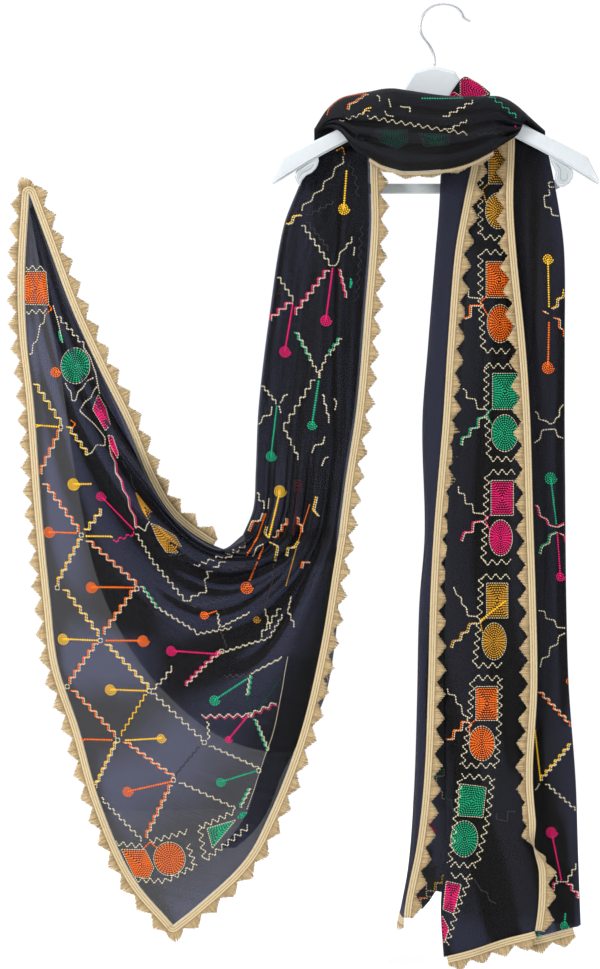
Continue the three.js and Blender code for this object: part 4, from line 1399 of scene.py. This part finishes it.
hem, above_hem = right[-1], right[-6]
OUTER_HIDDEN = 0.62       # share of the outer panel's hem that lies behind the middle panel
COLUMN_HEM_POINTS = 15
OUTER_START = LAYER_STEPS + TURN_STEPS + int(LAYER_STEPS * OUTER_HIDDEN)
OUTER_END = 2 * LAYER_STEPS + TURN_STEPS
cowl_rim = cowl[(cowl[:, 0, 0] > -95) & (cowl[:, 0, 0] < 62), 0] - np.array([0, 0, 2 * SEAM_GAP])
inner_edge = lying(right[:, -1], LYING_LACE_Y)
end_ways = out_from(swag[0], swag[5])
raised_edge = swag[:RAISED_LACE_ROWS, 0]


def hem_lace(name, first, last):
    """Lace on a stretch of the right fall's hem."""
    return lace_along(name, hem[first:last], out_from(hem[first:last], above_hem[first:last]))


def side_lace(name, rows, inner, turn_from=None):
    """Lace on the right edge of some rows of cloth."""
    return lace_along(name, rows[:, -1], out_from(rows[:, -1], rows[:, inner]), turn_from)


lace = {
    "end_lace": lace_along("lace_raised_end", swag[0], end_ways),
    "raised_edge_lace": lace_along("lace_raised_edge", raised_edge, upright_ways(raised_edge), end_ways[0]),
    "swag_lace": side_lace("lace_swag", swag, -6, end_ways[-1]),
    "left_fall_lace": side_lace("lace_left_fall", left_front, -4),
    "cowl_lace": lace_along("lace_cowl", cowl_rim, sideways(cowl_rim, (0, 0.96, -0.28))),
    "right_inner_lace": lace_along("lace_right_inner", inner_edge, sideways(inner_edge, (1, 0, 0))),
    "right_outer_lace": twisting_lace("lace_right_outer", right[:, 0]),
    "middle_hem_lace": hem_lace("lace_middle_hem", 0, LAYER_STEPS + 1),
    "outer_hem_lace": hem_lace("lace_outer_hem", OUTER_START, OUTER_END),
    "column_hem_lace": hem_lace("lace_column_hem", -COLUMN_HEM_POINTS, None),
}

threads = {node: stitch_on("threads_" + node, read_chart(table), cloth[ground]) for node, ground, table in (
    ("raised_end", "raised_end", SWAG_CHART), ("left_fall", "raised_end", LEFT_FALL_CHART),
    ("right_fall", "right_fall", RIGHT_FALL_CHART), ("front_cowl", "front_cowl", COWL_CHART),
    ("cowl_peak", "cowl_peak", PEAK_CHART),
)}
back_threads = {node: stitch_on(name, back_chart(*reach), cloth[node], backs=True) for node, name, reach in (
    ("swag_back", "threads_swag_back", (0, 4, 12)), ("left_fall", "threads_left_fall_back", (1, 5, 8)),
    ("right_fall", "threads_right_fall_back", (3, 7, 13)),
)}


# ---- The hanger ----

def copy_of_node(node, name, material):
    """A merged copy of a solid, ready for finer work."""
    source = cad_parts[node]
    mesh = source.data.copy()
    piece = bpy.data.objects.new(name, mesh)
    bpy.context.scene.collection.objects.link(piece)
    work = bmesh.new()
    work.from_mesh(mesh)
    bmesh.ops.remove_doubles(work, verts=work.verts, dist=0.00002)
    bmesh.ops.dissolve_limit(work, angle_limit=math.radians(1), verts=work.verts, edges=work.edges)
    work.to_mesh(mesh)
    work.free()
    mesh.materials.clear()
    mesh.materials.append(material)
    return piece


def softened(node, name, material, width, angle=20):
    piece = copy_of_node(node, name, material)
    apply_modifier(piece, "BEVEL", width=width * MM, segments=3, limit_method="ANGLE",
                   angle_limit=math.radians(angle))
    bpy.context.view_layer.objects.active = piece
    piece.select_set(True)
    bpy.ops.object.shade_smooth_by_angle(angle=math.radians(35))
    piece.select_set(False)
    return piece


HOOK_WIRE = 3.4
HOOK = [  # x, z
    (-11, -76.6), (-12, -64), (-17, -52), (-27, -38), (-29.5, -26), (-24, -10), (-13, -1), (0, HOOK_WIRE / 2),
    (13, -1), (22, -8), (26, -16), (34, -20.5),
]


def round_wire(name, rows, diameter, material, sides=16, spacing=1.2):
    """A wire with round ends along a smooth line."""
    line, _ = resample(curve_through(rows)(np.linspace(0, 1, 400)), spacing)
    ways = unit(np.gradient(line, axis=0))
    points = []
    radii = np.full(len(line), diameter / 2)
    for k, share in enumerate((0.35, 0.75, 0.93)):
        radii[k] = radii[-1 - k] = diameter / 2 * share
    for place, way, radius in zip(line, ways, radii):
        across = unit(np.cross(way, (0, 1, 0)))
        up = np.cross(across, way)
        for n in range(sides):
            turn = 2 * math.pi * n / sides
            points.append(place + (across * math.cos(turn) + up * math.sin(turn)) * radius)
    piece = mesh_object(name, points, tube_faces(len(line), sides), [material])
    face_outwards(piece)
    return piece


NECK_X = -11
LOBE_FACE_Y = -15.5
ARM = [  # out from the neck, the lower edge, y, depth
    (30, -142.5, -0.6, 13.6), (42, -144, -2, 12), (81, -158, -6, 10), (127, -181, -11, 9),
    (159, -199, -13.5, 9), (191, -219, -16, 8), (203, -226.5, -17, 5.6),
]


def joined(name, pieces):
    bpy.ops.object.select_all(action="DESELECT")
    for piece in pieces:
        piece.select_set(True)
    bpy.context.view_layer.objects.active = pieces[0]
    bpy.ops.object.join()
    pieces[0].name = name
    pieces[0].select_set(False)
    return pieces[0]


def arm_trims(side):
    """The moulded rim along the arm's lower front edge, and the flange behind and below it, in the darker
    plastic that paints its shade.
    """
    rim = [(NECK_X + side * out, y - depth / 2 + 0.6, bottom + 2.2) for out, bottom, y, depth in ARM]
    flange = [(NECK_X + side * out, y - depth / 4, bottom - 0.2) for out, bottom, y, depth in ARM]
    return [round_wire("rim", rim, 2.0, PLASTIC, 10, 3),
            round_wire("flange", flange, 2.2, SHADED_PLASTIC, 10, 3)]


LEFT_LOBE = [  # x, z
    (-160.2, -199.5), (-162.6, -205.9), (-167, -210.6), (-174.2, -214.4), (-180.2, -221.2),
    (-181.7, -225.3), (-184.6, -219.6), (-184.6, -214.6), (-181.6, -210.2), (-175, -206.4), (-169.5, -203.3),
]
LEFT_GROOVE = [(-163.5, -201.5), (-167.4, -207.2), (-174, -210.6), (-179.6, -213.9), (-182, -219.4)]
RIGHT_LOBE = [
    (135.2, -195.4), (138.4, -202.2), (143, -210.6), (142, -217.8), (142.3, -223.4), (145, -227.2),
    (150.3, -227.8), (155.8, -224), (159.4, -218.4), (160.2, -213), (157.2, -209), (148, -203.2),
    (140.5, -198.8),
]
RIGHT_GROOVE = [
    (140, -200.6), (146, -208.6), (146.4, -216), (147, -221.6), (151, -222.8), (155, -218.6), (154.6, -213.4),
]


def lobe_trims(outline, groove):
    """A raised rim round the lobe's face and an engraved line inside it, drawn as a thin wire in a dark
    plastic that paints the shade down in the groove.
    """
    rim = [(x, LOBE_FACE_Y, z) for x, z in outline + outline[:1]]
    line = [(x, LOBE_FACE_Y + 0.1, z) for x, z in groove]
    return [round_wire("rim", rim, 1.3, PLASTIC, 8, 1.5),
            round_wire("groove", line, 0.9, SHADE_PLASTIC, 8, 1.5)]


hanger = {
    "hanger_body": joined("hanger_arms_and_neck", [softened("hanger_body", "arms", PLASTIC, 1.4)]
                          + arm_trims(-1) + arm_trims(1)),
    "trouser_bar": softened("trouser_bar", "hanger_trouser_bar", SHADED_PLASTIC, 0.8),
    "left_swirl": joined("hanger_left_swirl", [softened("left_swirl", "left_lobe", SHADED_PLASTIC, 0.6, 45)]
                         + lobe_trims(LEFT_LOBE, LEFT_GROOVE)),
    "right_swirl": joined("hanger_right_swirl", [softened("right_swirl", "right_lobe", SHADED_PLASTIC, 0.6, 45)]
                          + lobe_trims(RIGHT_LOBE, RIGHT_GROOVE)),
    "hook": round_wire("hanger_hook", [(x, 0, z) for x, z in HOOK], HOOK_WIRE, WIRE),
}


# ---- Stage, light and camera ----

FLOOR_Z = -1.236
bpy.ops.mesh.primitive_circle_add(vertices=96, radius=2.2, fill_type="NGON", location=(0, 0, FLOOR_Z))
floor = bpy.context.object
floor.name = "floor"
bpy.ops.object.transform_apply(location=True)
floor.data.materials.append(floor_paper())


def soft_light(name, place, target, size, energy):
    light = bpy.data.lights.new(name, "AREA")
    light.shape = "DISK"
    light.size = size
    light.energy = energy
    holder = bpy.data.objects.new(name, light)
    holder.location = place
    holder.rotation_euler = (Vector(target) - Vector(place)).to_track_quat("-Z", "Y").to_euler()
    bpy.context.scene.collection.objects.link(holder)


MIDDLE_OF_CLOTH = (-0.18, 0, -0.6)
soft_light("key", (-2.3, -1.7, 0.5), MIDDLE_OF_CLOTH, 0.8, 72)
soft_light("fill", (1.6, -2.6, -0.3), MIDDLE_OF_CLOTH, 1.6, 22)
soft_light("top", (0.2, -0.9, 1.6), MIDDLE_OF_CLOTH, 0.8, 6)

world = bpy.data.worlds.new("white_backdrop_and_room")
world.use_nodes = True
sky = world.node_tree
way = add_node(sky, "ShaderNodeTexCoord").outputs["Generated"]
parts = add_node(sky, "ShaderNodeSeparateXYZ", {0: way})
# White behind the cloth, a dimmer room on the side the light comes from.
level = map_range(sky, parts.outputs[1], from_min=-0.15, from_max=0.45, to_min=ROOM_LEVEL, to_max=1.02)
ceiling = map_range(sky, parts.outputs[2], from_min=0.35, from_max=0.9, to_min=0, to_max=CEILING_LEVEL)
level = add_node(sky, "ShaderNodeMath", {0: level, 1: ceiling}, operation="ADD").outputs[0]
sky.links.new(level, sky.nodes["Background"].inputs[1])
sky.nodes["Background"].inputs[0].default_value = (1, 1, 1, 1)
bpy.context.scene.world = world
bpy.context.scene.view_settings.view_transform = "Standard"

camera = bpy.data.cameras.new("camera")
camera.sensor_width = LENS_SENSOR
camera.lens = LENS_SENSOR * CAMERA_DISTANCE / FRAME_HEIGHT
holder = bpy.data.objects.new("camera", camera)
holder.location = (FRAME_CENTRE[0], -CAMERA_DISTANCE - 0.01, FRAME_CENTRE[1])
holder.rotation_euler = (math.pi / 2, 0, 0)
bpy.context.scene.collection.objects.link(holder)
bpy.context.scene.camera = holder


# ---- What each piece rides on and stands for ----

for pieces, slot in ((cloth, "cloth"), (lace, "lace"), (threads, "cloth"), (back_threads, "cloth")):
    for piece in pieces.values():
        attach(piece, "root")
for node, piece in hanger.items():
    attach(piece, "root")
    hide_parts(node)
for node, piece in {**cloth, **lace}.items():
    if node not in ("folded_border", "right_outer_lace"):
        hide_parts(node)
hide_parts("right_outer_lace", "right_twisted_lace")
